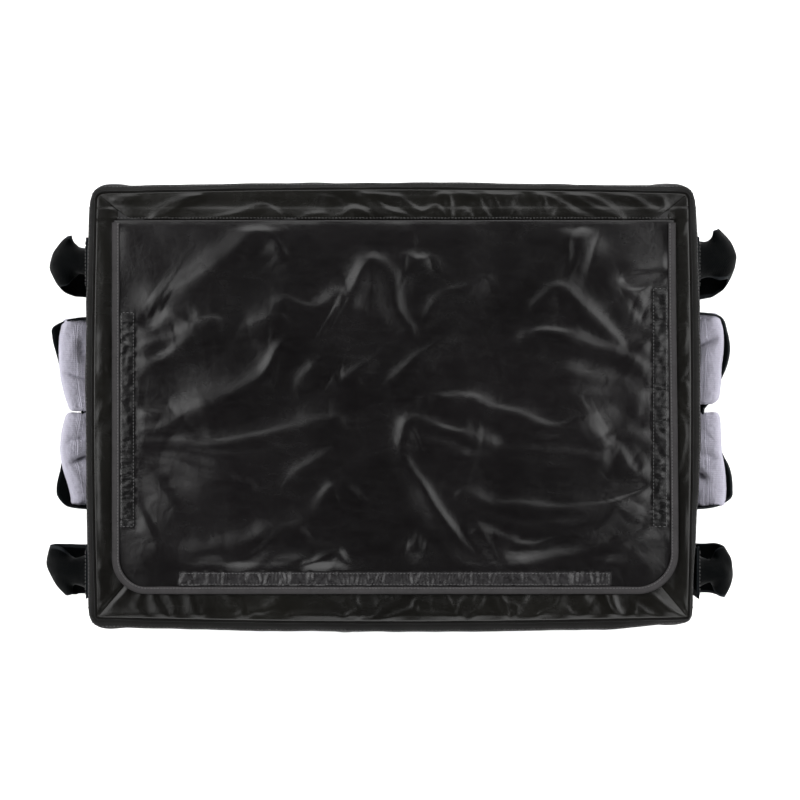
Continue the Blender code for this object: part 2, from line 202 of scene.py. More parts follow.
def blur(A, times):
    for _ in range(times):
        A = A.copy()
        A[1:-1] = 0.5 * A[1:-1] + 0.25 * (A[:-2] + A[2:])
        A[:, 1:-1] = 0.5 * A[:, 1:-1] + 0.25 * (A[:, :-2] + A[:, 2:])
    return A


def settle(base, levels, grow, limits, seed_shape, pinned, bend=0.25, push=0.0, pinch=None):
    """Position-based cloth: base(U, V) is the surface that the cloth is sewn over, and the cloth is cut larger than it by grow.
    It starts from seed_shape, and works from a coarse grid to a fine one until its threads have their length, so the spare
    cloth goes into folds.  limits hold it off what is behind it and under what is over it."""
    off = None
    for nu, nv, rounds in levels:
        U, V = np.meshgrid(np.linspace(0, 1, nu), np.linspace(0, 1, nv), indexing="ij")
        P0 = base(U, V)
        N = normals_of(P0)
        gu, gv = grow(U, V)
        lo, hi = limits(U, V)
        pin = pinned(U, V)
        start = N * (seed_shape(U, V))[..., None]
        P = P0 + (start if off is None else resample(off, nu, nv))
        P[pin] = P0[pin]
        PS = P0 + start
        PS[pin] = P0[pin]
        Lu = np.linalg.norm(np.diff(PS, axis=0), axis=2) * (1 + 0.5 * (gu[1:] + gu[:-1]))
        Lv = np.linalg.norm(np.diff(PS, axis=1), axis=2) * (1 + 0.5 * (gv[:, 1:] + gv[:, :-1]))
        gd = 1 + 0.25 * (gu[1:, 1:] + gu[:-1, :-1] + gv[1:, 1:] + gv[:-1, :-1])
        Ld1 = np.linalg.norm(PS[1:, 1:] - PS[:-1, :-1], axis=2) * gd
        Ld2 = np.linalg.norm(PS[:-1, 1:] - PS[1:, :-1], axis=2) * gd
        free = (~pin).astype(float)[..., None]

        def stretch(a, b, L, wa, wb, k=1.0):
            d = b - a
            length = np.maximum(np.linalg.norm(d, axis=-1, keepdims=True), 1e-9)
            move = k * d * (1 - L[..., None] / length) / np.maximum(wa + wb, 1e-6)
            return wa * move, -wb * move

        for r in range(rounds):
            if push:
                P += N * push * free
            lap = np.zeros_like(P)
            lap[1:-1] += P[:-2] + P[2:] - 2 * P[1:-1]
            lap[:, 1:-1] += P[:, :-2] + P[:, 2:] - 2 * P[:, 1:-1]
            bi = np.zeros_like(P)
            bi[1:-1] += lap[:-2] + lap[2:] - 2 * lap[1:-1]
            bi[:, 1:-1] += lap[:, :-2] + lap[:, 2:] - 2 * lap[:, 1:-1]
            P -= free * bi * bend * 0.06
            for _ in range(2):
                for c in (0, 1):
                    a, b = P[c:-1:2], P[c + 1::2]
                    n = min(len(a), len(b))
                    da, db = stretch(a[:n], b[:n], Lu[c::2][:n], free[c:-1:2][:n], free[c + 1::2][:n])
                    P[c:-1:2][:n] += da
                    P[c + 1::2][:n] += db
                    a, b = P[:, c:-1:2], P[:, c + 1::2]
                    n = min(a.shape[1], b.shape[1])
                    da, db = stretch(a[:, :n], b[:, :n], Lv[:, c::2][:, :n], free[:, c:-1:2][:, :n], free[:, c + 1::2][:, :n])
                    P[:, c:-1:2][:, :n] += da
                    P[:, c + 1::2][:, :n] += db
            da, db = stretch(P[:-1, :-1], P[1:, 1:], Ld1, free[:-1, :-1], free[1:, 1:], 0.3)
            P[:-1, :-1] += da
            P[1:, 1:] += db
            da, db = stretch(P[1:, :-1], P[:-1, 1:], Ld2, free[1:, :-1], free[:-1, 1:], 0.3)
            P[1:, :-1] += da
            P[:-1, 1:] += db
            h = ((P - P0) * N).sum(-1)
            P += N * (np.clip(h, lo, hi) - h)[..., None] * 0.7
            P[pin] = P0[pin]
        off = P - P0
    return P0 + blur(off, 1)


# ====================================================================== materials
class Paint:
    """A procedural material put together node by node."""

    def __init__(self, name, roughness=0.5, metallic=0.0, sheen=0.0, specular=0.5, coat=0.0, coat_rough=0.2):
        self.mat = bpy.data.materials.new(name)
        self.mat.use_nodes = True
        self.nt = self.mat.node_tree
        self.bsdf = self.nt.nodes["Principled BSDF"]
        self.bsdf.inputs["Roughness"].default_value = roughness
        self.bsdf.inputs["Metallic"].default_value = metallic
        self.bsdf.inputs["Specular IOR Level"].default_value = specular
        if sheen:
            self.bsdf.inputs["Sheen Weight"].default_value = sheen
            self.bsdf.inputs["Sheen Roughness"].default_value = 0.45
        if coat:
            self.bsdf.inputs["Coat Weight"].default_value = coat
            self.bsdf.inputs["Coat Roughness"].default_value = coat_rough
        self.coord = self.nt.nodes.new("ShaderNodeTexCoord")

    def link(self, a, b):
        self.nt.links.new(a, b)
        return b

    def math(self, op, a, b=None, c=None):
        n = self.nt.nodes.new("ShaderNodeMath")
        n.operation = op
        for k, v in enumerate((a, b, c)):
            if v is None:
                continue
            if isinstance(v, (int, float)):
                n.inputs[k].default_value = v
            else:
                self.nt.links.new(v, n.inputs[k])
        return n.outputs[0]

    def mapped(self, scale, uv=False, rotation=0.0):
        m = self.nt.nodes.new("ShaderNodeMapping")
        m.inputs["Scale"].default_value = scale if hasattr(scale, "__len__") else (scale,) * 3
        m.inputs["Rotation"].default_value = (0, 0, rotation)
        self.nt.links.new(self.coord.outputs["UV" if uv else "Object"], m.inputs["Vector"])
        return m.outputs[0]

    def noise(self, scale, detail=3.0, rough=0.5, distortion=0.0, vector=None):
        n = self.nt.nodes.new("ShaderNodeTexNoise")
        n.inputs["Scale"].default_value = scale
        n.inputs["Detail"].default_value = detail
        n.inputs["Roughness"].default_value = rough
        n.inputs["Distortion"].default_value = distortion
        self.nt.links.new(vector if vector is not None else self.coord.outputs["Object"], n.inputs["Vector"])
        return n.outputs["Fac"]

    def voronoi(self, scale, vector=None, feature="F1"):
        n = self.nt.nodes.new("ShaderNodeTexVoronoi")
        n.feature = feature
        n.inputs["Scale"].default_value = scale
        self.nt.links.new(vector if vector is not None else self.coord.outputs["Object"], n.inputs["Vector"])
        return n.outputs["Distance"]

    def wave(self, pitch, across="U", phase=0.0):
        """A rounded rib every pitch metres along the cloth's own U or V."""
        sep = self.nt.nodes.new("ShaderNodeSeparateXYZ")
        self.nt.links.new(self.coord.outputs["UV"], sep.inputs[0])
        x = self.math("MULTIPLY_ADD", sep.outputs[0 if across == "U" else 1], 2 * math.pi / pitch, phase)
        return self.math("MULTIPLY_ADD", self.math("SINE", x), 0.5, 0.5)

    def ramp(self, fac, stops):
        n = self.nt.nodes.new("ShaderNodeValToRGB")
        n.color_ramp.interpolation = "EASE"
        while len(n.color_ramp.elements) < len(stops):
            n.color_ramp.elements.new(0.5)
        for e, (pos, col) in zip(n.color_ramp.elements, stops):
            e.position = pos
            e.color = (*col, 1) if len(col) == 3 else col
        self.nt.links.new(fac, n.inputs[0])
        return n.outputs[0]

    def remap(self, fac, a, b, lo, hi):
        n = self.nt.nodes.new("ShaderNodeMapRange")
        n.inputs["From Min"].default_value, n.inputs["From Max"].default_value = a, b
        n.inputs["To Min"].default_value, n.inputs["To Max"].default_value = lo, hi
        self.nt.links.new(fac, n.inputs["Value"])
        return n.outputs[0]

    def mix(self, fac, a, b, how="MIX"):
        n = self.nt.nodes.new("ShaderNodeMix")
        n.data_type = "RGBA"
        n.blend_type = how
        for k, v in ((0, fac), (6, a), (7, b)):
            if isinstance(v, (int, float)):
                n.inputs[k].default_value = v
            elif isinstance(v, tuple):
                n.inputs[k].default_value = (*v, 1)
            else:
                self.nt.links.new(v, n.inputs[k])
        return n.outputs[2]

    def pointy(self, lo, hi):
        g = self.nt.nodes.new("ShaderNodeNewGeometry")
        return self.remap(g.outputs["Pointiness"], lo, hi, 0, 1)

    def colour(self, c):
        self.nt.links.new(c, self.bsdf.inputs["Base Color"])

    def rough(self, r):
        self.nt.links.new(r, self.bsdf.inputs["Roughness"])

    def bump(self, height, distance, strength=1.0, under=None):
        n = self.nt.nodes.new("ShaderNodeBump")
        n.inputs["Strength"].default_value = strength
        n.inputs["Distance"].default_value = distance
        self.nt.links.new(height, n.inputs["Height"])
        if under is not None:
            self.nt.links.new(under, n.inputs["Normal"])
        self.nt.links.new(n.outputs[0], self.bsdf.inputs["Normal"])
        return n.outputs[0]


def coated_nylon(name, tone=1.0, gloss=0.34, warm=1.0, shine=0.22, strips=(), dull=None, green=0.0011):
    """Black nylon with a polyurethane face: fine plain weave under a soft gloss, faint handling marks, paler along creases."""
    p = Paint(name, roughness=gloss, specular=shine)
    base = tuple(tone * c for c in (0.0014, green, 0.0012 * warm))
    pale = tuple(tone * c for c in (0.0030, 2.25 * green, 0.0027 * warm))
    blotch = p.noise(9, 4, 0.6)
    colour = p.ramp(blotch, ((0.30, base), (0.72, pale)))
    worn = p.pointy(0.515, 0.60)
    colour = p.mix(p.math("MULTIPLY", worn, 0.4), colour, tuple(2.0 * c for c in pale))
    dust = p.noise(420, 2, 0.7)
    colour = p.mix(p.remap(dust, 0.62, 0.80, 0, 0.35), colour, tuple(2.0 * c for c in pale))
    if strips:
        # painted highlight: the gathered cloth of the stitched strips is painted paler to stand in for the sheen of its
        # puckers
        place = p.nt.nodes.new("ShaderNodeSeparateXYZ")
        p.nt.links.new(p.coord.outputs["Object"], place.inputs[0])
        sheen_mottle = p.noise(170, 4, 0.65, 1.2)
        for lo, hi, much in strips:
            dx = p.math("LESS_THAN", p.math("ABSOLUTE", p.math("SUBTRACT", place.outputs[0], (lo.x + hi.x) / 2)), (hi.x - lo.x) / 2)
            dy = p.math("LESS_THAN", p.math("ABSOLUTE", p.math("SUBTRACT", place.outputs[1], (lo.y + hi.y) / 2)), (hi.y - lo.y) / 2)
            here = p.math("MULTIPLY", p.math("MULTIPLY", dx, dy), p.remap(sheen_mottle, 0.36, 0.64, 0.25, 1.0))
            colour = p.mix(here, colour, (much, 0.95 * much, much))
    p.colour(colour)
    scuff = p.noise(1.0, 4, 0.62, 0.6, p.mapped((46, 120, 80), rotation=0.5))
    cloudy = p.noise(14, 3, 0.55)
    rough = p.remap(p.math("ADD", p.math("MULTIPLY", scuff, 0.5), p.math("MULTIPLY", cloudy, 0.5)), 0.30, 0.72, gloss - 0.04, gloss + 0.07)
    if dull:
        # the cloth is rubbed dull towards its upper edge
        height = p.nt.nodes.new("ShaderNodeSeparateXYZ")
        p.nt.links.new(p.coord.outputs["Object"], height.inputs[0])
        rough = p.math("ADD", rough, p.remap(height.outputs[2], dull[0], dull[1], 0.0, dull[2]))
    p.rough(rough)
    weave = p.math("ADD", p.wave(0.00062, "U"), p.wave(0.00062, "V"))
    first = p.bump(weave, 0.00005, 0.25)
    grain = p.noise(330, 4, 0.6, 0.4)
    second = p.bump(grain, 0.00012, 0.35, first)
    ripple = p.noise(70, 3, 0.5, 0.8)
    p.bump(ripple, 0.0005, 0.45, second)
    return p.mat


def webbing_mat(name, tone=1.0, pitch=0.0017, width=0.0):
    """Woven polypropylene webbing: rows of short ribs, staggered from one column to the next, with tight edges."""
    p = Paint(name, roughness=0.60, specular=0.03)
    rib = p.wave(pitch, "U")
    other = p.wave(pitch, "U", math.pi)
    column = p.wave(pitch * 1.5, "V")
    sep = p.math("GREATER_THAN", column, 0.5)
    weave = p.math("ADD", p.math("MULTIPLY", rib, sep), p.math("MULTIPLY", other, p.math("SUBTRACT", 1.0, sep)))
    weave = p.math("MULTIPLY", weave, p.math("POWER", p.math("ABSOLUTE", p.math("MULTIPLY_ADD", column, 2, -1)), 0.4))
    fibres = p.noise(1400, 2, 0.6)
    tones = p.ramp(p.math("ADD", p.math("MULTIPLY", weave, 0.6), p.math("MULTIPLY", fibres, 0.4)),
                   ((0.15, tuple(tone * c for c in (0.0003, 0.0006, 0.0007))), (0.85, tuple(tone * c for c in (0.0010, 0.0016, 0.0018)))))
    tones = p.mix(p.math("MULTIPLY", p.pointy(0.52, 0.62), 0.6), tones, tuple(tone * c for c in (0.005, 0.006, 0.007)))
    if width:
        # the hard selvedges catch the light
        sep_ = p.nt.nodes.new("ShaderNodeSeparateXYZ")
        p.nt.links.new(p.coord.outputs["UV"], sep_.inputs[0])
        off = p.math("ABSOLUTE", p.math("SUBTRACT", sep_.outputs[1], width / 2))
        edge = p.remap(off, width / 2 - 0.0016, width / 2 - 0.0004, 0, 1)
        tones = p.mix(p.math("MULTIPLY", edge, 0.75), tones, (0.016, 0.018, 0.020))
    p.colour(tones)
    p.rough(p.remap(p.noise(60, 3), 0.3, 0.7, 0.52, 0.74))
    first = p.bump(weave, 0.00035, 0.8)
    p.bump(fibres, 0.0001, 0.5, first)
    return p.mat


def tape_mat(name, dark, light, pitch=0.0008):
    """Woven edge tape: fine crosswise ribs with a twill line."""
    p = Paint(name, roughness=0.66, sheen=0.04, specular=0.2)
    rib = p.wave(pitch, "U")
    cross = p.wave(pitch * 1.2, "V")
    weave = p.math("MULTIPLY", rib, p.math("MULTIPLY_ADD", cross, 0.5, 0.5))
    speck = p.noise(900, 3, 0.6)
    blend_ = p.math("ADD", p.math("MULTIPLY", weave, 0.45), p.math("MULTIPLY", speck, 0.55))
    c = p.ramp(blend_, ((0.2, dark), (0.75, light)))
    c = p.mix(p.remap(p.noise(24, 3), 0.4, 0.75, 0, 0.35), c, tuple(1.3 * v for v in light))
    p.colour(c)
    p.rough(p.remap(p.noise(150, 2), 0.3, 0.7, 0.55, 0.78))
    first = p.bump(weave, 0.0002, 0.8)
    p.bump(speck, 0.0001, 0.5, first)
    return p.mat


def knit_mat(name):
    """Light grey brushed knit: courses and wales of small loops under a fuzzy nap, with painted shade where it creases.
    """
    p = Paint(name, roughness=0.95, sheen=0.12, specular=0.1)
    course = p.wave(0.0017, "V")
    wale = p.wave(0.0021, "U")
    loop = p.math("MULTIPLY", course, p.math("MULTIPLY_ADD", wale, 0.45, 0.55))
    nap = p.noise(900, 4, 0.7)
    tuft = p.noise(210, 3, 0.6)
    c = p.ramp(p.math("ADD", p.math("MULTIPLY", loop, 0.3), p.math("MULTIPLY", nap, 0.7)),
               ((0.18, (0.292, 0.283, 0.336)), (0.78, (0.432, 0.420, 0.497))))
    c = p.mix(p.remap(p.noise(34, 3), 0.42, 0.75, 0, 0.25), c, (0.366, 0.353, 0.421))
    # painted shade: the knit is darkened in its hollow creases
    c = p.mix(p.math("SUBTRACT", 1.0, p.pointy(0.44, 0.495)), c, (0.15, 0.143, 0.178))
    p.colour(c)
    p.rough(p.remap(tuft, 0.3, 0.7, 0.88, 1.0))
    first = p.bump(loop, 0.0005, 0.7)
    p.bump(p.math("ADD", p.math("MULTIPLY", nap, 0.5), tuft), 0.0006, 0.7, first)
    return p.mat


def liner_mat(name, tone=1.0):
    """Silver-grey laminate, wiped many times: a fine embossed grid under a satin film."""
    p = Paint(name, roughness=0.46, metallic=0.0, specular=0.22)
    grid = p.math("MAXIMUM", p.math("POWER", p.wave(0.0042, "U"), 12.0), p.math("POWER", p.wave(0.0042, "V"), 12.0))
    film = p.noise(16, 4, 0.6)
    c = p.ramp(film, ((0.3, tuple(tone * v for v in (0.34, 0.35, 0.37))), (0.7, tuple(tone * v for v in (0.42, 0.43, 0.45)))))
    c = p.mix(p.math("MULTIPLY", grid, 0.35), c, tuple(tone * v for v in (0.24, 0.245, 0.26)))
    c = p.mix(p.remap(p.noise(230, 3, 0.6), 0.55, 0.8, 0, 0.3), c, tuple(tone * v for v in (0.27, 0.275, 0.29)))
    p.colour(c)
    p.rough(p.remap(p.noise(48, 4, 0.6, 0.6), 0.3, 0.7, 0.40, 0.56))
    first = p.bump(grid, 0.00018, 0.6)
    p.bump(p.noise(90, 4, 0.55, 0.9), 0.0008, 0.5, first)
    return p.mat


def hook_mat(name, loops=False):
    """Hook tape, rows of stiff hooks on a ribbed base, or brushed loop tape."""
    p = Paint(name, roughness=0.6 if not loops else 0.95, sheen=0.0 if not loops else 0.4, specular=0.4)
    if loops:
        fuzz = p.noise(1500, 4, 0.75, 1.2)
        c = p.ramp(fuzz, ((0.25, (0.006, 0.006, 0.007)), (0.75, (0.030, 0.030, 0.032))))
        p.colour(c)
        p.rough(p.remap(p.noise(300, 2), 0.3, 0.7, 0.85, 1.0))
        p.bump(fuzz, 0.0007, 0.9)
    else:
        dots = p.math("MULTIPLY", p.math("POWER", p.wave(0.0015, "U"), 3.0), p.math("POWER", p.wave(0.0012, "V"), 3.0))
        c = p.ramp(dots, ((0.1, (0.007, 0.007, 0.008)), (0.8, (0.028, 0.028, 0.030))))
        p.colour(c)
        p.rough(p.remap(p.noise(400, 2), 0.3, 0.7, 0.45, 0.7))
        p.bump(dots, 0.0009, 1.0)
    return p.mat


def foam_mat(name):
    p = Paint(name, roughness=0.95, specular=0.25)
    cells = p.voronoi(650)
    c = p.ramp(cells, ((0.1, (0.52, 0.52, 0.50)), (0.7, (0.78, 0.78, 0.75))))
    p.colour(p.mix(p.remap(p.noise(20), 0.4, 0.7, 0, 0.3), c, (0.62, 0.60, 0.54)))
    p.rough(p.remap(p.noise(200), 0.3, 0.7, 0.85, 1.0))
    p.bump(cells, 0.0005, 0.7)
    return p.mat


def board_mat(name):
    p = Paint(name, roughness=0.5, specular=0.5)
    flute = p.nt.nodes.new("ShaderNodeTexWave")
    flute.inputs["Scale"].default_value = 55
    p.nt.links.new(p.coord.outputs["Object"], flute.inputs["Vector"])
    mark = p.noise(60, 4, 0.6)
    p.colour(p.ramp(mark, ((0.3, (0.04, 0.04, 0.042)), (0.7, (0.075, 0.075, 0.078)))))
    p.rough(p.remap(mark, 0.3, 0.7, 0.4, 0.6))
    p.bump(flute.outputs["Fac"], 0.0004, 0.5)
    return p.mat


def thread_mat(name, tone):
    p = Paint(name, roughness=0.5, sheen=0.1, specular=0.5)
    twist = p.noise(2600, 2, 0.5)
    p.colour(p.ramp(twist, ((0.3, tuple(tone * c for c in (0.5, 0.48, 0.49))), (0.7, tuple(tone * c for c in (1.0, 0.97, 0.99))))))
    p.rough(p.remap(twist, 0.3, 0.7, 0.42, 0.62))
    p.bump(twist, 0.0001, 0.6)
    return p.mat


M = {
    # the lid's stitched strips get painted highlight tones: faint at the sides, strong at the front
    "lid": coated_nylon("lid_nylon", 0.70, 0.235, 1.02, 0.20, [(*TAPES["left"], 0.0012), (*TAPES["right"], 0.0012), (*TAPES["front"], 0.0125)]),
    "rim": coated_nylon("rim_nylon", 0.9, 0.24, 0.8, 0.17, green=0.00125),
    "wall": coated_nylon("wall_nylon", 0.74, 0.31, 0.86, 0.11, dull=(0.205, 0.268, 0.50), green=0.00124),
    "webbing": webbing_mat("black_webbing", 1.6, width=0.0508),
    "webbing_loop": webbing_mat("black_loop_webbing", 0.7, width=0.0524),
    "webbing_handle": webbing_mat("black_handle_webbing", width=0.0400),
    "binding": tape_mat("grey_edge_tape", (0.0064, 0.0058, 0.0061), (0.0188, 0.0172, 0.0181)),
    "seam": tape_mat("black_seam_tape", (0.003, 0.003, 0.0031), (0.010, 0.0095, 0.0098)),
    "knit": knit_mat("grey_knit"),
    "liner": liner_mat("silver_liner"),
    "lid_lining": liner_mat("silver_lid_lining", 0.40),
    "hook": hook_mat("hook_tape_black"),
    "loop": hook_mat("loop_tape_black", True),
    "foam": foam_mat("foam_board"),
    "board": board_mat("fluted_board"),
    "thread": thread_mat("black_thread", 0.016),
    "thread_dark": thread_mat("dark_thread", 0.0035),
    "piping": coated_nylon("piping_nylon", 0.55, 0.55, 0.86, 0.05, green=0.0012),
    "thread_grey": thread_mat("grey_thread", 0.040),
}


def finish_piece(obj, body, nodes=()):
    if nodes:
        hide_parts(*nodes)
    if body:
        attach(obj, body)
    return obj


# ====================================================================== stitches
def sample(P, N, u, v):
    """Points and normals of a grid at fractional places."""
    s, t = u * (P.shape[0] - 1), v * (P.shape[1] - 1)
    i, j = np.clip(s.astype(int), 0, P.shape[0] - 2), np.clip(t.astype(int), 0, P.shape[1] - 2)
    a, b = (s - i)[:, None], (t - j)[:, None]

    def mixed(A):
        return A[i, j] * (1 - a) * (1 - b) + A[i + 1, j] * a * (1 - b) + A[i, j + 1] * (1 - a) * b + A[i + 1, j + 1] * a * b

    return mixed(P), mixed(N)


def stitches(name, runs, mat, pitch=0.0034, share=0.72, radius=0.00038, lift=0.00022):
    """Short threads along lines that lie on cloth. runs are (points, normals) arrays."""
    verts, faces = [], []
    rings = ((-0.5, 0.0, -0.6), (-0.36, 0.95, 0.0), (0.0, 1.05, 0.45), (0.36, 0.95, 0.0), (0.5, 0.0, -0.6))
    for pts, nrm in runs:
        step = np.linalg.norm(np.diff(pts, axis=0), axis=1)
        run = np.concatenate([[0], np.cumsum(step)])
        count = max(1, int(run[-1] / pitch))
        for k in range(count):
            at = (k + 0.5) * run[-1] / count
            c = np.array([np.interp(at, run, pts[:, q]) for q in range(3)])
            a = np.array([np.interp(at - pitch * share / 2, run, pts[:, q]) for q in range(3)])
            b = np.array([np.interp(at + pitch * share / 2, run, pts[:, q]) for q in range(3)])
            n = np.array([np.interp(at, run, nrm[:, q]) for q in range(3)])
            d = b - a
            length = np.linalg.norm(d)
            if length < 1e-6:
                continue
            d /= length
            n -= d * (n @ d)
            n /= max(np.linalg.norm(n), 1e-9)
            s = np.cross(d, n)
            first = len(verts)
            for along, r, up in rings:
                centre = c + d * along * length + n * (lift + up * radius)
                if r == 0:
                    verts.append(centre)
                else:
                    for q in range(6):
                        w = q * math.pi / 3
                        verts.append(centre + radius * r * (s * math.cos(w) + n * math.sin(w)))
            tip0, tip1 = first, first + 19
            for q in range(6):
                e = (q + 1) % 6
                faces.append((tip0, first + 1 + e, first + 1 + q, first + 1 + q))
                for layer in (0, 1):
                    o = first + 1 + layer * 6
                    faces.append((o + q, o + e, o + 6 + e, o + 6 + q))
                faces.append((tip1, first + 13 + q, first + 13 + e, first + 13 + e))
    mesh = bpy.data.meshes.new(name)
    mesh.from_pydata([tuple(v) for v in verts], [], [tuple(dict.fromkeys(f)) for f in faces])
    mesh.shade_smooth()
    obj = bpy.data.objects.new(name, mesh)
    bpy.context.scene.collection.objects.link(obj)
    mesh.materials.append(mat)
    return obj


# ====================================================================== outline of the box
def end_x(y):
    return HALF_X + BOW_X * np.cos(math.pi * np.asarray(y) / 0.44)


def side_y(x):
    return SIDE_Y + BOW_Y * np.cos(math.pi * np.asarray(x) / 0.61)


def side_curve(back, extra=0.0):
    """Dense points and outward normals of the front or back face with its corners, left to right."""
    r = CORNER_BACK if back else CORNER_FRONT
    run = HALF_X - r
    up = 1.0 if back else -1.0
    cy = SIDE_Y - r
    a = np.linspace(0, math.pi / 2, 14)[:-1]
    x = np.concatenate([-run - r * np.cos(a), np.linspace(-run, run, 61), run + r * np.cos(a[::-1])])
    y = np.concatenate([cy + r * np.sin(a), side_y(np.linspace(-run, run, 61)), cy + r * np.sin(a[::-1])])
    nx = np.concatenate([-np.cos(a), np.linspace(-run, run, 61) * 0, np.cos(a[::-1])])
    ny = np.concatenate([np.sin(a), np.ones(61), np.sin(a[::-1])])
    return np.stack([x, up * y], 1), np.stack([nx, up * ny], 1)


def end_curve(right):
    y = np.linspace(-(SIDE_Y - CORNER_FRONT), SIDE_Y - CORNER_BACK, 61)
    w = 1.0 if right else -1.0
    return np.stack([w * end_x(y), y], 1), np.stack([np.full(61, w), np.zeros(61)], 1)


def along(curve, normal, t):
    run = np.concatenate([[0], np.cumsum(np.linalg.norm(np.diff(curve, axis=0), axis=1))])
    at = t * run[-1]
    p = np.stack([np.interp(at, run, curve[:, k]) for k in (0, 1)], -1)
    n = np.stack([np.interp(at, run, normal[:, k]) for k in (0, 1)], -1)
    return p, n / np.linalg.norm(n, axis=-1, keepdims=True), run[-1]


WALL_PROFILE = np.array((
    (0.0030, 0.0062), (0.0048, 0.0042), (0.0080, 0.0022), (0.0160, 0.0006), (0.0320, -0.0004), (0.0900, -0.0008), (0.1700, -0.0008),
    (0.2380, -0.0002), (0.2560, 0.0004), (0.2655, 0.0016), (0.2730, 0.0042), (0.2772, 0.0062), (0.2788, 0.0072),
))
_wall = spline(WALL_PROFILE, 400)


def wall_profile(v):
    at = np.linspace(0, 1, 400)
    return np.interp(v, at, _wall[:, 0]), np.interp(v, at, _wall[:, 1])


PUFF = {"left": 0.0033, "right": 0.0040, "back": 0.0014, "front": 0.0042}   # how far the foam pushes each wall out
CORNER_PUFF = {"front": (0.0036, -0.0004), "back": (0.0024, 0.0026), "left": (0.0036, 0.0024), "right": (-0.0004, 0.0026)}   # and its two ends


def wall_base(kind):
    if kind in ("front", "back"):
        curve, normal = side_curve(kind == "back")
    else:
        curve, normal = end_curve(kind == "right")

    def base(U, V):
        p, n, _ = along(curve, normal, U.ravel())
        z, inset = wall_profile(V.ravel())
        at, (first, last) = U.ravel(), CORNER_PUFF[kind]
        reach = 0.42 if kind == "right" else 0.12
        puff = PUFF[kind] + (first - PUFF[kind]) * smooth(reach, 0.0, at) + (last - PUFF[kind]) * smooth(0.86, 1.0, at)
        inset = inset - puff * smooth(0.004, 0.030, z) * smooth(0.2796, 0.2730, z)
        q = p - n * inset[:, None]
        P = np.stack([q[:, 0], q[:, 1], z], 1).reshape(*U.shape, 3)
        return P if kind in ("front", "right") else P
    return base


# ====================================================================== lid flap
def flap_right(y):
    """The flap is cut a little wider towards the front."""
    return FLAP_R - 0.0018 + 0.0026 * smooth(0.18, -0.14, y) * 1.0


R_LEFT, R_RIGHT = 0.034, 0.040
TUCK = 0.0030


def flap_limits(y):
    left = np.full_like(y, FLAP_L)
    right = flap_right(y)
    for edge, r, sign in ((left, R_LEFT, 1), (right, R_RIGHT, -1)):
        t = np.clip((FLAP_FRONT + r - y) / r, 0, 1)
        edge += sign * (r - r * np.sqrt(np.maximum(1 - t * t, 0)))
    return left, right


def flap_base(U, V):
    # rows gather towards the front edge, so that the round corners are smooth
    s = V ** 1.0
    y = FLAP_FRONT + (FLAP_BACK + TUCK - FLAP_FRONT) * (0.82 * s + 0.18 * s * s)
    left, right = flap_limits(y)
    x = left + (right - left) * U
    edge = np.minimum(np.minimum(x - left, right - x), y - FLAP_FRONT)
    inside = smooth(0.004, 0.050, edge) * smooth(HINGE.y - 0.002, HINGE.y - 0.045, y)
    z = FLAP_Z + 0.0002 + 0.0012 * inside
    z = z - 0.0012 * smooth(HINGE.y - 0.003, FLAP_BACK + TUCK, y)
    return np.stack([x, y, z], -1)


# Folds of the flap, in millimetres: H stands highest, then M, then B, a broad swell.
FOLDS = (
    ("B", (-242, 96), (-190, 132), (-138, 174)),
    ("H", (-254, 74), (-238, 76), (-222, 90), (-202, 80)),
    ("H", (-254, 60), (-220, 70), (-206, 76)),
    ("H", (-254, 46), (-230, 46), (-208, 68)),
    ("M", (-202, 80), (-170, 84)),
    ("M", (-108, 104), (-82, 98), (-56, 114), (-42, 110), (-26, 138), (-14, 142), (0, 128), (4, 98), (14, 80)),
    ("L", (-146, 80), (-122, 86), (-98, 80)),
    ("M", (-214, 2), (-170, 10), (-140, 24), (-124, 36), (-112, 56)),
    ("L", (-94, 20), (-74, 46)),
    ("L", (-60, 30), (-48, 24), (-16, 50)),
    ("L", (32, 90), (50, 108), (94, 128)),
    ("H", (276, 140), (238, 138), (224, 126), (238, 114), (274, 126)),
    ("M", (226, 108), (246, 82), (258, 88)),
    ("M", (144, 104), (168, 118), (192, 98), (224, 68), (224, 56)),
    ("H", (136, 70), (166, 72), (222, 56)),
    ("M", (232, 50), (256, 36)),
    ("M", (236, 56), (274, 64)),
    ("M", (168, 34), (228, 24)),
    ("M", (168, 10), (254, 10)),
    ("M", (36, 6), (90, 4)),
    ("L", (0, 26), (50, 64)),
    ("H", (-254, -36), (-220, -36), (-170, -38), (-128, -34), (-58, -12)),
    ("M", (-254, -44), (-214, -60), (-146, -78)),
    ("M", (-212, -8), (-180, 0)),
    ("L", (-104, -76), (-60, -42)),
    ("M", (-244, -66), (-218, -102)),
    ("M", (-252, -108), (-240, -138)),
    ("M", (-162, -158), (-130, -146), (-98, -124)),
    ("M", (-122, -158), (-104, -142), (-88, -122)),
    ("H", (-92, -164), (-58, -148), (-48, -158)),
    ("L", (-70, -96), (-56, -80), (-34, -92)),
    ("H", (78, 4), (136, -14), (166, -20), (200, -10), (212, -4)),
    ("M", (186, -14), (206, -36), (208, -50)),
    ("M", (118, -46), (206, -50)),
    ("M", (222, -32), (258, -30)),
    ("H", (228, -46), (244, -66), (262, -62)),
    ("H", (8, -36), (18, -14), (60, -28), (98, -34)),
    ("M", (12, -56), (34, -92), (60, -126), (84, -154)),
    ("H", (74, -88), (114, -102), (206, -102), (276, -78)),
    ("H", (88, -126), (114, -134), (146, -142), (200, -124), (224, -104)),
    ("M", (86, -122), (102, -156)),
    ("M", (224, -138), (270, -126)),
)
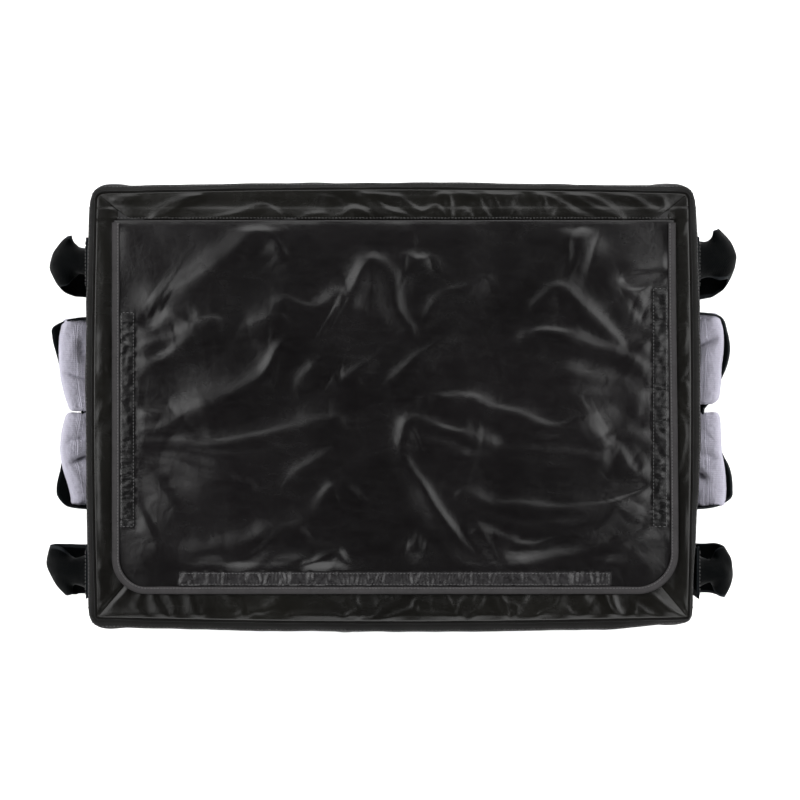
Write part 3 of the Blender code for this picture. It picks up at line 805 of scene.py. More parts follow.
FOLDS += (
    ("B", (178, 164), (204, 157)), ("M", (12, 146), (26, 143), (38, 146)), ("B", (64, -32), (90, -38)), ("B", (190, -17), (207, -9)), ("B", (206, -30), (212, -44)),
    ("L", (-118, 168), (-104, 142)), ("B", (-56, 108), (-46, 102)),
    ("H", (-256, -11), (-236, -11), (-222, -10), (-217, -7)), ("H", (-256, -25), (-236, -24), (-222, -18), (-215, -11)),
    ("B", (-170, -148), (-130, -132), (-100, -128)), ("B", (-92, -145), (-58, -144)), ("B", (244, -52), (268, -66)), ("L", (232, 116), (258, 100)), ("B", (240, 100), (252, 98)), ("B", (-232, -14), (-216, -22)),
    ("B", (-212, -143), (-190, -145), (-168, -143)), ("B", (14, -144), (34, -146)), ("B", (112, -146), (142, -145)), ("B", (206, -146), (240, -146)),
    ("L", (-237, -62), (-234, -98)), ("B", (-226, 100), (-240, 108)), ("L", (246, 18), (246, -16)), ("B", (246, -100), (236, -116)),
)
FOLD_SIZE = {"H": (0.0032, 0.0054, 0.0108), "M": (0.0023, 0.0060, 0.0115), "B": (0.0026, 0.0100, 0.0130), "L": (0.0012, 0.0055, 0.0115)}   # height, steep side, gentle side
FRAME_SIZE = {"H": (0.0012, 0.0028, 0.0058), "M": (0.0008, 0.0028, 0.0056), "B": (0.0013, 0.0060, 0.0085)}

# Folds of the frame's cloth, in millimetres.
FRAME_FOLDS = (
    ("H", (-242, 184), (-228, 200), (-195, 210)), ("H", (-195, 210), (-215, 200), (-240, 183)), ("M", (-280, 205), (-275, 209), (-262, 211), (-255, 215)),
    ("H", (-210, 184), (-182, 187), (-152, 194), (-134, 200), (-122, 198), (-112, 188)), ("H", (-92, 189), (-72, 193), (-70, 191)),
    ("H", (-70, 189), (-52, 190), (-42, 198), (-32, 196), (-22, 188)), ("M", (-72, 210), (-57, 207), (-52, 202)),
    ("H", (-30, 213), (-18, 205), (6, 191)), ("M", (-28, 213), (8, 209)),
    ("H", (-2, 209), (8, 208), (20, 200), (30, 195), (40, 200), (46, 199), (54, 187)), ("H", (-2, 195), (8, 193), (20, 187)),
    ("H", (54, 215), (57, 207), (59, 189)), ("M", (42, 209), (54, 215)), ("M", (59, 212), (70, 214), (80, 211), (84, 205)),
    ("H", (87, 210), (90, 199), (97, 188)), ("M", (74, 195), (80, 188)), ("H", (96, 215), (100, 209), (105, 200), (107, 195)),
    ("H", (97, 214), (114, 210), (127, 211)), ("B", (108, 204), (122, 196)), ("H", (147, 213), (152, 205), (154, 194), (155, 188)),
    ("H", (149, 212), (164, 205), (174, 200), (182, 194), (197, 189)), ("M", (164, 202), (160, 194), (159, 188)),
    ("H", (178, 213), (189, 210), (205, 205), (220, 197), (230, 188)), ("H", (178, 213), (185, 207), (200, 199), (229, 187)),
    ("M", (220, 212), (239, 209), (257, 199), (277, 190)), ("M", (270, 209), (277, 189)),
    ("H", (-298, -202), (-289, -198), (-265, -183)), ("H", (-300, -162), (-294, -184), (-296, -194)), ("M", (-252, -189), (-256, -202), (-252, -211), (-277, -213)),
    ("H", (-240, -189), (-237, -198), (-224, -215)), ("M", (-225, -189), (-217, -200), (-220, -215)), ("M", (-202, -190), (-197, -209), (-190, -217)),
    ("M", (-186, -204), (-192, -215)), ("M", (-168, -190), (-152, -204), (-156, -216)),
    ("H", (-107, -189), (-120, -200), (-130, -206), (-142, -207), (-150, -215)), ("M", (-126, -208), (-112, -199), (-104, -192)),
    ("H", (-102, -209), (-88, -208), (-69, -208), (-58, -209), (-50, -212), (-40, -208)), ("H", (-38, -190), (-38, -196), (-35, -203), (-40, -208)),
    ("M", (-50, -192), (-44, -200), (-42, -203)), ("M", (-35, -203), (-24, -201)), ("H", (-14, -191), (-13, -198), (-18, -205), (-24, -211)),
    ("H", (-24, -205), (-31, -209), (-33, -214), (-30, -218), (-25, -218)), ("H", (-13, -198), (0, -191)),
    ("H", (-24, -217), (-8, -214), (8, -208), (20, -204), (23, -198), (32, -190)),
    ("H", (22, -204), (26, -208), (42, -209), (53, -209), (65, -210), (69, -198), (76, -190)), ("M", (27, -199), (40, -197)),
    ("M", (53, -190), (58, -198), (63, -205)), ("H", (69, -209), (72, -215), (76, -218), (80, -212), (86, -209), (102, -209)),
    ("M", (82, -190), (78, -196), (80, -201), (73, -206)), ("M", (90, -192), (86, -198), (82, -204)),
    ("H", (106, -189), (112, -198), (123, -201), (122, -216)), ("H", (112, -199), (114, -212), (118, -217), (124, -217), (128, -211)),
    ("M", (134, -190), (128, -198), (124, -203)), ("H", (136, -212), (145, -211), (150, -207), (160, -204), (166, -200), (170, -190)),
    ("H", (175, -204), (180, -210), (190, -212), (198, -206), (204, -201)), ("B", (186, -192), (198, -200)),
    ("H", (213, -190), (215, -199), (220, -207), (225, -213)), ("H", (220, -190), (223, -201), (229, -212)),
    ("H", (243, -204), (240, -212), (230, -215)), ("M", (245, -200), (259, -209), (275, -214)),
    ("H", (257, -187), (270, -196), (284, -206), (292, -212)), ("H", (292, -212), (294, -201), (287, -192)),
    ("B", (-284, 72), (-288, 60)), ("H", (-282, 48), (-289, 43), (-289, 35), (-282, 28)), ("H", (-281, 5), (-292, -7), (-299, -19)),
    ("M", (-281, -22), (-288, -30), (-288, -40), (-281, -49)), ("M", (-284, -54), (-294, -42), (-300, -40)), ("B", (-290, -52), (-292, -76)),
    ("M", (-282, -75), (-289, -82), (-287, -92), (-281, -97)), ("B", (-290, -100), (-288, -124)), ("H", (-281, -160), (-296, -162)),
    ("H", (294, 80), (296, 73), (293, 62), (285, 55)), ("M", (297, 59), (286, 50)), ("H", (296, 38), (286, 26)), ("H", (286, 26), (294, 21), (299, 14)),
    ("M", (300, 10), (294, -4), (286, 3)), ("H", (288, -11), (292, -21), (291, -39), (286, -64)), ("M", (299, -66), (288, -79)), ("B", (291, -106), (291, -136)),
    ("H", (302, 183), (284, 170)), ("M", (299, 108), (300, 88)),
)


def fold_height(x, y, folds, sizes, seed=3, wander=0.004, swell=0.6):
    """How far the folds lift the cloth: each a ridge that dies out at its ends, steep on one side."""
    wx = x + wander * noise(x * 22, y * 22, seed)
    wy = y + wander * noise(x * 22, y * 22, seed + 1)
    total = np.zeros_like(x)
    for kind, *pts in folds:
        height, steep, gentle = sizes[kind]
        reach = 5.0 * gentle
        px, py = [p[0] / 1000.0 for p in pts], [p[1] / 1000.0 for p in pts]
        near = (wx > min(px) - reach) & (wx < max(px) + reach) & (wy > min(py) - reach) & (wy < max(py) + reach)
        if not near.any():
            continue
        qx, qy = wx[near], wy[near]
        line = spline(np.array(pts) / 1000.0, max(12, 9 * len(pts)))
        best = np.full(qx.shape, 1e9)
        side = np.zeros(qx.shape)
        place = np.zeros(qx.shape)
        for i in range(len(line) - 1):
            a, b = line[i], line[i + 1]
            d = b - a
            t = np.clip(((qx - a[0]) * d[0] + (qy - a[1]) * d[1]) / max(d @ d, 1e-12), 0, 1)
            ex, ey = qx - (a[0] + t * d[0]), qy - (a[1] + t * d[1])
            dist = np.hypot(ex, ey)
            closer = dist < best
            best = np.where(closer, dist, best)
            side = np.where(closer, (d[0] * ey - d[1] * ex) / math.sqrt(max(d @ d, 1e-12)), side)
            place = np.where(closer, (i + t) / (len(line) - 1), place)
        taper = np.sin(math.pi * np.clip(0.10 + 0.80 * place, 0, 1)) ** 0.7
        lean = smooth(-1.0, 1.0, side / np.maximum(best, 1e-5))
        vary = 1 + 0.22 * noise(place * 3.1 + 7 * px[0], place * 0 + 40 * py[0], seed + 9)
        w = (steep * lean + gentle * (1 - lean)) * vary
        broad = (1.1 * lean + 1.9 * (1 - lean)) * gentle * vary
        total[near] += height * taper * (np.exp(-(best / w) ** 2) + (swell if np.isscalar(swell) else swell[near]) * np.exp(-(best / broad) ** 2))
    # where many folds meet, the cloth can only rise so far
    most = 1.5 * max(size[0] for size in sizes.values())
    return most * (1 - np.exp(-total / most))


def in_tape(x, y, grow_by=0.0):
    """From 0 outside to 1 inside the stitched strips, and the distance to the nearest stitch line."""
    inside = np.zeros_like(x)
    line = np.full(x.shape, 1.0)
    for lo, hi in TAPES.values():
        dx = np.maximum(lo.x - x, x - hi.x)
        dy = np.maximum(lo.y - y, y - hi.y)
        out = np.maximum(dx, dy)
        inside = np.maximum(inside, smooth(0.0015, -0.0015, out))
        outside = np.hypot(np.maximum(dx, 0), np.maximum(dy, 0))
        line = np.minimum(line, np.where(out > 0, outside, -out))
    return inside, line


def flap_grow(U, V):
    P = flap_base(U, V)
    inside, line = in_tape(P[..., 0], P[..., 1])
    front = smooth(-0.150, -0.175, P[..., 1])
    slack = 0.0008 + 0.0014 * noise(P[..., 0] * 9 + 7, P[..., 1] * 9, 21)
    gu = slack + 0.004 * inside * front + 0.001 * inside * (1 - front)
    gv = slack + 0.004 * inside * (1 - front) + 0.001 * inside * front
    return gu, gv


def flap_bounds(U, V):
    P = flap_base(U, V)
    inside, line = in_tape(P[..., 0], P[..., 1])
    held = smooth(0.0000, 0.065, line)
    lo = np.full(U.shape, -0.0009)
    hi = 0.0003 + 0.0018 * held
    hi = hi + 0.0004 * inside
    edge = np.minimum(U, 1 - U) * 0.56
    hi = np.minimum(hi, 0.0002 + 0.25 * np.maximum(np.minimum(edge, P[..., 1] - FLAP_FRONT) - 0.004, 0))
    hi = np.minimum(hi, 0.0002 + 0.16 * np.maximum(HINGE.y - P[..., 1], 0))
    return lo, np.maximum(hi, lo + 0.0002)


def flap_seed(U, V):
    P = flap_base(U, V)
    x, y = P[..., 0], P[..., 1]
    inside, line = in_tape(x, y)
    h = 0.0011 * noise(x * 15, y * 15, 11) + 0.0003 * noise(x * 44, y * 44, 12)
    return h * (1 - inside) * smooth(0.0005, 0.007, line)


def flap_pins(U, V):
    return (U <= 0) | (U >= 1) | (V <= 0) | (V >= 1)


flap = settle(
    flap_base, ((142, 96, 60), (283, 190, 50), (380, 256, 26)),
    flap_grow, flap_bounds, flap_seed, flap_pins, bend=0.5,
)
_x, _y = flap[..., 0], flap[..., 1]
_inside, _ = in_tape(_x, _y)
_front = smooth(-0.150, -0.175, _y)


def crinkle(s, d, seed):
    """Short slanting gathers across a stitched strip."""
    skew = s + 0.5 * d * noise(s * 24, d * 0 + seed, seed + 7) + 0.0016 * noise(s * 90, d * 90, seed + 1)
    fold = 1 - 2.2 * np.abs(noise(skew * 118, d * 26, seed + 2))
    return 0.00115 * fold * (0.55 + 0.8 * np.abs(noise(s * 33, d * 12, seed + 3))) + 0.00036 * noise(s * 180, d * 150, seed + 4)


_edge = np.minimum(np.minimum(_x - FLAP_L, flap_right(_y) - _x), _y - FLAP_FRONT)
_fold = fold_height(_x, _y, FOLDS, FOLD_SIZE, swell=0.6 * smooth(0.008, 0.065, in_tape(_x, _y)[1]))
# where the folds run into a side strip they stand on flat cloth, so the lift that they share is taken away
_count = 0.014 / abs(float(np.mean(np.diff(_y, axis=1))))
_reach = int(3 * _count)
_kernel = np.exp(-0.5 * (np.arange(-_reach, _reach + 1) / _count) ** 2)
_wide = np.pad(_fold, ((0, 0), (_reach, _reach)), mode="edge")
_shared = np.stack([np.convolve(row, _kernel / _kernel.sum(), "valid") for row in _wide])
_near = smooth(0.085, 0.020, np.minimum(_x - TAPES["left"][1].x, TAPES["right"][0].x - _x))
_fold = np.maximum(_fold - 0.9 * _near * _shared, -0.0005)
flap[..., 2] += (_fold * smooth(-0.0010, 0.0110, in_tape(_x, _y)[1])
                 * smooth(0.0060, 0.0120, _edge) * smooth(HINGE.y - 0.001, HINGE.y - 0.010, _y))
_pucker = crinkle(_x, _y - TAPES["front"][0].y, 501) * _front + 0.66 * crinkle(_y, _x, 521) * (1 - _front)
flap[..., 2] += _pucker * _inside
# the stitches pull a small groove round each strip
_, _line = in_tape(_x, _y)
flap[..., 2] -= 0.00010 * np.exp(-((_line - 0.0002) / 0.0016) ** 2)
FLAP_N = normals_of(flap)
if FLAP_N[10, 10, 2] < 0:
    flap = flap[::-1]
    FLAP_N = normals_of(flap)
lid_flap = cloth("lid_flap", flap, 0.0016, M["lid"])
finish_piece(lid_flap, None, ("lid_outer",))
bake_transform(lid_flap)


def flap_at(x, y):
    """Points and normals of the flap's upper face over plan points."""
    s = np.clip((y - FLAP_FRONT) / (FLAP_BACK + TUCK - FLAP_FRONT), 0, 1)
    v = (-0.82 + np.sqrt(0.82 ** 2 + 4 * 0.18 * s)) / 0.36
    left, right = flap_limits(np.asarray(y, float).copy())
    u = np.clip((x - left) / (right - left), 0, 1)
    return sample(flap, FLAP_N, u, v)


# the folded edge tape
def flap_edge(count):
    y1 = HINGE.y - 0.0008
    a = np.linspace(0, math.pi / 2, 24)
    lx = FLAP_L + R_LEFT - R_LEFT * np.cos(a)
    ly = FLAP_FRONT + R_LEFT - R_LEFT * np.sin(a)
    b = a[::-1]
    rx0 = flap_right(np.array([FLAP_FRONT]))[0]
    rx = rx0 - R_RIGHT + R_RIGHT * np.cos(b)
    ry = FLAP_FRONT + R_RIGHT - R_RIGHT * np.sin(b)
    yr = np.linspace(FLAP_FRONT + R_RIGHT + 0.004, y1, 30)
    pts = np.concatenate([
        np.stack([np.full(20, FLAP_L), np.linspace(y1, FLAP_FRONT + R_LEFT + 0.004, 20)], 1),
        np.stack([lx, ly], 1),
        np.stack([np.linspace(FLAP_L + R_LEFT + 0.004, rx0 - R_RIGHT - 0.004, 40), np.full(40, FLAP_FRONT)], 1),
        np.stack([rx, ry], 1),
        np.stack([flap_right(yr), yr], 1),
    ])
    run = np.concatenate([[0], np.cumsum(np.linalg.norm(np.diff(pts, axis=0), axis=1))])
    at = np.linspace(0, run[-1], count)
    c = np.stack([np.interp(at, run, pts[:, k]) for k in (0, 1)], 1)
    d = np.gradient(c, axis=0)
    d /= np.linalg.norm(d, axis=1, keepdims=True)
    return c, np.stack([-d[:, 1], d[:, 0]], 1), at


edge_c, edge_n, edge_s = flap_edge(420)
TAPE_FOLD = np.array((
    (0.0064, 0.2871), (0.0056, 0.2874), (0.0036, 0.28735), (0.0014, 0.2871), (-0.0002, 0.28655), (-0.0011, 0.2855),
    (-0.0012, 0.2844), (-0.0011, 0.2833), (-0.0003, 0.2822), (0.0012, 0.28165), (0.0036, 0.28155), (0.0058, 0.2816),
))
rows = []
for k, (n, z) in enumerate(TAPE_FOLD):
    wave_z = 0.00022 * noise(edge_s * 55, edge_s * 0 + k * 0.11, 31) + 0.0003 * noise(edge_s * 14, edge_s * 0 + 0.5, 32)
    wave_n = 0.00030 * noise(edge_s * 38, edge_s * 0 + k * 0.07, 33)
    if k < 7:
        up = 1.0
    else:
        up = 0.15
    rows.append(np.stack([
        edge_c[:, 0] + edge_n[:, 0] * (n + wave_n * (1 if k in (0, 1, 2) else 0.3)),
        edge_c[:, 1] + edge_n[:, 1] * (n + wave_n * (1 if k in (0, 1, 2) else 0.3)),
        z + wave_z * up + 0 * edge_s,
    ], 1))
binding_grid = np.stack(rows, 1)
if normals_of(binding_grid)[5, 2, 2] < 0:
    binding_grid = binding_grid[::-1]
lid_binding = cloth("lid_edge_binding", binding_grid, 0.0005, M["binding"])
finish_piece(lid_binding, "lid", ("lid_binding",))

# stitches of the lid: one row round each strip and one along the edge tape; one row along the hinge follows further
# down
runs = []
for lo, hi in TAPES.values():
    m = 0.0016
    x0, x1, y0, y1 = lo.x + m, hi.x - m, lo.y + m, hi.y - m
    corners = [(x0, y0), (x1, y0), (x1, y1), (x0, y1), (x0, y0)]
    for (ax, ay), (bx, by) in zip(corners, corners[1:]):
        k = max(4, int(math.hypot(bx - ax, by - ay) / 0.0012))
        xs, ys = np.linspace(ax, bx, k), np.linspace(ay, by, k)
        runs.append(flap_at(xs, ys))
lid_stitch = stitches("lid_strip_stitching", runs, M["thread"])
finish_piece(lid_stitch, "lid")

runs = []
inset = 0.0049
pts = np.stack([edge_c[:, 0] + edge_n[:, 0] * inset, edge_c[:, 1] + edge_n[:, 1] * inset,
                0.28742 + 0.0003 * noise(edge_s * 14, edge_s * 0 + 0.5, 32)], 1)
runs.append((pts, np.tile((0, 0, 1.0), (len(pts), 1))))
binding_stitch = stitches("lid_binding_stitching", runs, M["thread_grey"], pitch=0.0032)
finish_piece(binding_stitch, "lid")

# ====================================================================== top frame: four mitred strips of cloth
RIM_INSET = 0.0066


def rim_ends(kind):
    """Outer and inner lines of a strip, running the same way, as functions of t from 0 to 1."""
    c45 = math.cos(math.pi / 4)
    if kind in ("front", "back"):
        R = CORNER_BACK if kind == "back" else CORNER_FRONT
        ccx, ccy, r = HALF_X - R, SIDE_Y - R, R - RIM_INSET
        up = 1.0 if kind == "back" else -1.0
        y_in = MOUTH_Y1 if kind == "back" else MOUTH_Y0

        def outer(t):
            xs = np.concatenate([-ccx - r * np.cos(np.linspace(math.pi / 4, math.pi / 2, 12)), np.linspace(-ccx, ccx, 100)[1:-1],
                                 ccx + r * np.cos(np.linspace(math.pi / 2, math.pi / 4, 12))])
            ys = np.concatenate([ccy + r * np.sin(np.linspace(math.pi / 4, math.pi / 2, 12)), side_y(np.linspace(-ccx, ccx, 100)[1:-1]) - RIM_INSET,
                                 ccy + r * np.sin(np.linspace(math.pi / 2, math.pi / 4, 12))])
            run = np.concatenate([[0], np.cumsum(np.hypot(np.diff(xs), np.diff(ys)))])
            return np.stack([np.interp(t * run[-1], run, xs), up * np.interp(t * run[-1], run, ys)], -1)

        def inner(t):
            return np.stack([-MOUTH_X + 2 * MOUTH_X * t, np.full_like(t, y_in)], -1)
    else:
        w = 1.0 if kind == "right" else -1.0
        y_lo, y_hi = -(SIDE_Y - CORNER_FRONT), SIDE_Y - CORNER_BACK
        r_lo, r_hi = CORNER_FRONT - RIM_INSET, CORNER_BACK - RIM_INSET

        def outer(t):
            ends = np.linspace(y_lo, y_hi, 100)[1:-1]
            a, b = np.linspace(math.pi / 4, math.pi / 2, 12), np.linspace(math.pi / 2, math.pi / 4, 12)
            ys = np.concatenate([y_lo - r_lo * np.cos(a), ends, y_hi + r_hi * np.cos(b)])
            xs = np.concatenate([HALF_X - CORNER_FRONT + r_lo * np.sin(a), end_x(ends) - RIM_INSET, HALF_X - CORNER_BACK + r_hi * np.sin(b)])
            run = np.concatenate([[0], np.cumsum(np.hypot(np.diff(xs), np.diff(ys)))])
            return np.stack([w * np.interp(t * run[-1], run, xs), np.interp(t * run[-1], run, ys)], -1)

        def inner(t):
            return np.stack([np.full_like(t, w * MOUTH_X), MOUTH_Y0 + (MOUTH_Y1 - MOUTH_Y0) * t], -1)
    return outer, inner


def under_flap(x, y):
    """1 where the flap lies over the frame."""
    left, right = flap_limits(np.clip(y, FLAP_FRONT, FLAP_BACK))
    inside = np.minimum(np.minimum(x - left, right - x), y - FLAP_FRONT)
    return smooth(-0.0016, 0.0020, inside) * smooth(HINGE.y + 0.0022, HINGE.y - 0.0010, y)


def rim_parts(kind, seed):
    outer, inner = rim_ends(kind)

    def base(U, V):
        t = U
        o, i = outer(t.ravel()), inner(t.ravel())
        v = V.ravel()[:, None]
        p = (o * (1 - v) + i * v)
        x, y = p[:, 0].reshape(U.shape), p[:, 1].reshape(U.shape)
        cover = under_flap(x, y)
        z = 0.2797 + (RIM_Z + 0.0008 - 0.2797) * smooth(0, 0.02, V)
        if kind in ("left", "right"):
            z = z - 0.0008 * smooth(0.02, 0.42, V)
        z = z * (1 - cover) + (RIM_Z - 0.0001) * cover
        z = z + 0.0008 * smooth(HINGE.y + 0.0015, HINGE.y + 0.0035, y) * smooth(0.2000, 0.1960, y) * (1 - cover)
        z = z - 0.0005 * np.exp(-(U / 0.010) ** 2) - 0.0005 * np.exp(-((1 - U) / 0.010) ** 2)
        return np.stack([x, y, z], -1)

    def grow(U, V):
        P = base(U, V)
        k = 0.6 + 0.4 * noise(P[..., 0] * 12, P[..., 1] * 12, seed)
        cover = under_flap(P[..., 0], P[..., 1])
        much = 1.0 if kind in ("front", "back") else 0.15
        return 0.006 * much * k * (1 - 0.8 * cover), 0.004 * much * k * (1 - 0.8 * cover)

    def limits(U, V):
        P = base(U, V)
        cover = under_flap(P[..., 0], P[..., 1])
        hi = (0.0040 if kind in ("front", "back") else 0.0005) * (1 - cover) + 0.0002
        seam = np.minimum(V * 0.05, np.minimum(U, 1 - U) * 0.26)
        hi = np.minimum(hi, 0.0004 + 0.55 * seam)
        return -0.0001 - 0.0008 * (1 - cover) * smooth(0.10, 0.35, V) * smooth(0.004, 0.03, np.minimum(U, 1 - U)), hi

    def shape(U, V):
        P = base(U, V)
        x, y = P[..., 0], P[..., 1]
        s, d = (x, y) if kind in ("front", "back") else (y, x)
        return (0.0007 * noise(s * 14, d * 22, seed + 2) + 0.0002 * noise(s * 60, d * 60, seed + 3)) * smooth(0.02, 0.30, V)

    def pins(U, V):
        return (U <= 0) | (U >= 1) | (V <= 0) | (V >= 1)

    return base, grow, limits, shape, pins


RIM = {}
for kind, seed, n in (("front", 41, 300), ("back", 51, 300), ("left", 61, 220), ("right", 71, 220)):
    base, grow, limits, shape, pins = rim_parts(kind, seed)
    P = settle(base, ((n // 2, 16, 50), (n, 31, 50), (int(n * 1.7), 52, 22)), grow, limits, shape, pins, bend=0.35)
    _x, _y = P[..., 0], P[..., 1]
    _v = np.linspace(0, 1, P.shape[1])[None, :]
    if kind in ("left", "right"):
        # these two lie nearly flat
        flat_z = base(*np.meshgrid(np.linspace(0, 1, P.shape[0]), np.linspace(0, 1, P.shape[1]), indexing="ij"))[..., 2]
        P[..., 2] = flat_z + np.clip(P[..., 2] - flat_z, -0.0001, 0.0002)
    much = 1.0 if kind in ("front", "back") else 0.5
    P[..., 2] += (much * fold_height(_x, _y, FRAME_FOLDS, FRAME_SIZE, seed, 0.0016, 0.25) * smooth(0.01, 0.14, _v) * (1 - under_flap(_x, _y))
                  * smooth(0.0, 0.012, np.linspace(0, 1, P.shape[0]) * (1 - np.linspace(0, 1, P.shape[0])))[:, None])
    if normals_of(P)[20, 10, 2] < 0:
        P = P[:, ::-1]
    RIM[kind] = P
    wide = {"front": 0.053, "back": 0.038, "left": 0.044, "right": 0.044}[kind]
    long_ = {"front": 0.60, "back": 0.60, "left": 0.43, "right": 0.43}[kind]
    obj = cloth("frame_cloth_" + kind, P, 0.0010, M["rim"])
    finish_piece(obj, "root", ("rim_" + kind,))

# the piped seam round the top
ring_pts = []
for kind in ("front", "right", "back", "left"):
    c, n = side_curve(kind == "back") if kind in ("front", "back") else end_curve(kind == "right")
    q = c - n * 0.0060
    ring_pts.append(q[::-1] if kind in ("back", "left") else q)
ring_pts = np.concatenate(ring_pts)
run = np.concatenate([[0], np.cumsum(np.linalg.norm(np.diff(np.vstack([ring_pts, ring_pts[:1]]), axis=0), axis=1))])
keep = np.linspace(0, run[-1], 700, endpoint=False)
closed = np.vstack([ring_pts, ring_pts[:1]])
loop_pts = np.stack([np.interp(keep, run, closed[:, k]) for k in (0, 1)], 1)
d = np.roll(loop_pts, -1, 0) - np.roll(loop_pts, 1, 0)
d /= np.linalg.norm(d, axis=1, keepdims=True)
outward = np.stack([d[:, 1], -d[:, 0]], 1)
wob = 0.0006 * noise(keep * 24, keep * 0, 81)
tube = []
for q in range(10):
    a = 2 * math.pi * q / 10
    r = 0.00125
    tube.append(np.stack([
        loop_pts[:, 0] + outward[:, 0] * (r * math.cos(a) + wob), loop_pts[:, 1] + outward[:, 1] * (r * math.cos(a) + wob),
        0.27965 + r * math.sin(a) + 0.0004 * noise(keep * 17, keep * 0 + 4, 82)], 1))
tube = np.stack(tube, 1)
idx = np.arange(700 * 10).reshape(700, 10)
A, B = idx, np.roll(idx, -1, 0)
faces = np.stack([A, B, np.roll(B, -1, 1), np.roll(A, -1, 1)], -1).reshape(-1, 4)
uv = np.stack(np.meshgrid(keep, np.linspace(0, 0.008, 10), indexing="ij"), -1).reshape(-1, 2)
piping = mesh_object("top_seam_piping", tube.reshape(-1, 3), faces[:, ::-1], uv, M["piping"])
finish_piece(piping, "root", ("top_edge_piping",))

# ====================================================================== walls
LOOPS_AT = [(STRAP_Y["back"], 0.0265), (STRAP_Y["front"], 0.0265)]


def wall_parts(kind, seed):
    base = wall_base(kind)
    ends = kind in ("left", "right")

    def grow(U, V):
        k = 0.6 + 0.5 * noise(U * 6, V * 4, seed)
        top = np.exp(-((1 - V) / 0.10) ** 2) + 0.6 * np.exp(-(V / 0.08) ** 2)
        return 0.003 * k + 0.008 * top, 0.003 * k

    def limits(U, V):
        seam = np.minimum(np.minimum(V, 1 - V) * 0.29, np.minimum(U, 1 - U) * (0.42 if ends else 0.64))
        hi = 0.0003 + 0.30 * np.clip(seam, 0, 0.012)
        lo = -0.0003 - 0.12 * np.clip(seam, 0, 0.012)
        if ends:
            P = base(U, V)
            y, z = P[..., 1], P[..., 2]
            for at, half in LOOPS_AT:
                under = smooth(half + 0.010, half + 0.001, np.abs(y - at)) * smooth(0.255, 0.246, z)
                hi = hi * (1 - under) + 0.0002 * under
            under = smooth(0.118, 0.108, np.abs(y + 0.008)) * smooth(0.031, 0.023, np.abs(z - HANDLE_Z))
            hi = hi * (1 - under) + 0.0002 * under
        return lo, hi

    def shape(U, V):
        P = base(U, V)
        s = P[..., 1] if ends else P[..., 0]
        z = P[..., 2]
        warp = s + 0.012 * noise(s * 9, z * 14, seed + 1)
        puck = noise(warp * 52, z * 10, seed + 2) * (np.exp(-((1 - V) / 0.12) ** 2) + 0.7 * np.exp(-(V / 0.10) ** 2))
        drag = noise(s * 13 + z * 9, z * 13 - s * 4, seed + 3)
        broad = noise(s * 6, z * 7, seed + 4)
        small = noise(s * 34, z * 30, seed + 5)
        low = smooth(0.262, 0.205, z)
        return 0.0007 * puck + (0.0020 * drag + 0.0016 * broad + 0.0006 * small) * (0.12 + 0.88 * low)

    def pins(U, V):
        return (U <= 0) | (U >= 1) | (V <= 0) | (V >= 1)

    return base, grow, limits, shape, pins


# Folds of the walls, in millimetres along the wall and up it.
WALL_SIZE = {"H": (0.0036, 0.0070, 0.0170), "M": (0.0028, 0.0070, 0.0160), "L": (0.0022, 0.0110, 0.0220)}
WALL_FOLDS = {
    "front": (("H", (-285, 256), (-262, 222), (-250, 170), (-255, 110)), ("M", (-270, 30), (-240, 70), (-200, 92)), ("M", (-180, 262), (-172, 240), (-150, 215)),
              ("L", (-120, 20), (-100, 70), (-110, 130)), ("M", (-60, 262), (-48, 246), (-55, 215)), ("L", (-20, 120), (30, 105), (90, 125)),
              ("M", (40, 262), (52, 240), (48, 205), (60, 170)), ("M", (110, 15), (130, 50), (122, 90)), ("H", (150, 262), (162, 232), (190, 200), (230, 180)),
              ("M", (290, 30), (262, 66), (220, 82)), ("H", (288, 256), (268, 215), (262, 160), (270, 100)), ("L", (180, 120), (220, 135), (250, 128)),
              ("L", (-210, 150), (-150, 140), (-90, 165))),
    "back": (("H", (-288, 258), (-270, 210), (-262, 150), (-268, 90)), ("M", (-210, 262), (-196, 236), (-160, 220)), ("L", (-190, 60), (-140, 80), (-80, 72)),
             ("M", (-90, 264), (-84, 240), (-62, 212), (-60, 180)), ("L", (-20, 40), (-5, 90), (-15, 140)), ("M", (70, 262), (64, 238), (76, 214)),
             ("M", (120, 20), (104, 58), (112, 96)), ("H", (170, 262), (186, 226), (222, 198)), ("M", (284, 26), (250, 64), (206, 74)),
             ("H", (290, 256), (272, 212), (266, 152)), ("L", (140, 140), (196, 128), (244, 140)), ("H", (-240, 122), (-180, 140), (-118, 132)), ("H", (52, 182), (124, 160), (196, 170)),
             ("M", (-70, 206), (-6, 190), (44, 198)), ("H", (-50, 58), (26, 76), (104, 64)), ("M", (150, 86), (206, 104), (252, 98)), ("M", (-200, 190), (-150, 178), (-100, 184))),
    "left": (("M", (-198, 258), (-188, 220), (-192, 170)), ("M", (-66, 264), (-54, 248), (-24, 238)), ("L", (-74, 100), (-30, 84), (40, 96)),
             ("M", (196, 258), (186, 215), (190, 160)), ("L", (60, 30), (44, 60), (50, 100)), ("M", (-190, 20), (-172, 60), (-160, 110)), ("M", (30, 262), (44, 244), (70, 236))),
    "right": (("M", (-200, 256), (-190, 214), (-194, 160)), ("M", (-40, 264), (-30, 246), (0, 236)), ("L", (-60, 60), (-20, 80), (50, 74)),
              ("M", (196, 256), (184, 220), (188, 176)), ("L", (-30, 24), (-44, 56), (-36, 96)), ("M", (190, 22), (174, 62), (164, 112)), ("M", (56, 262), (66, 246), (92, 240))),
}

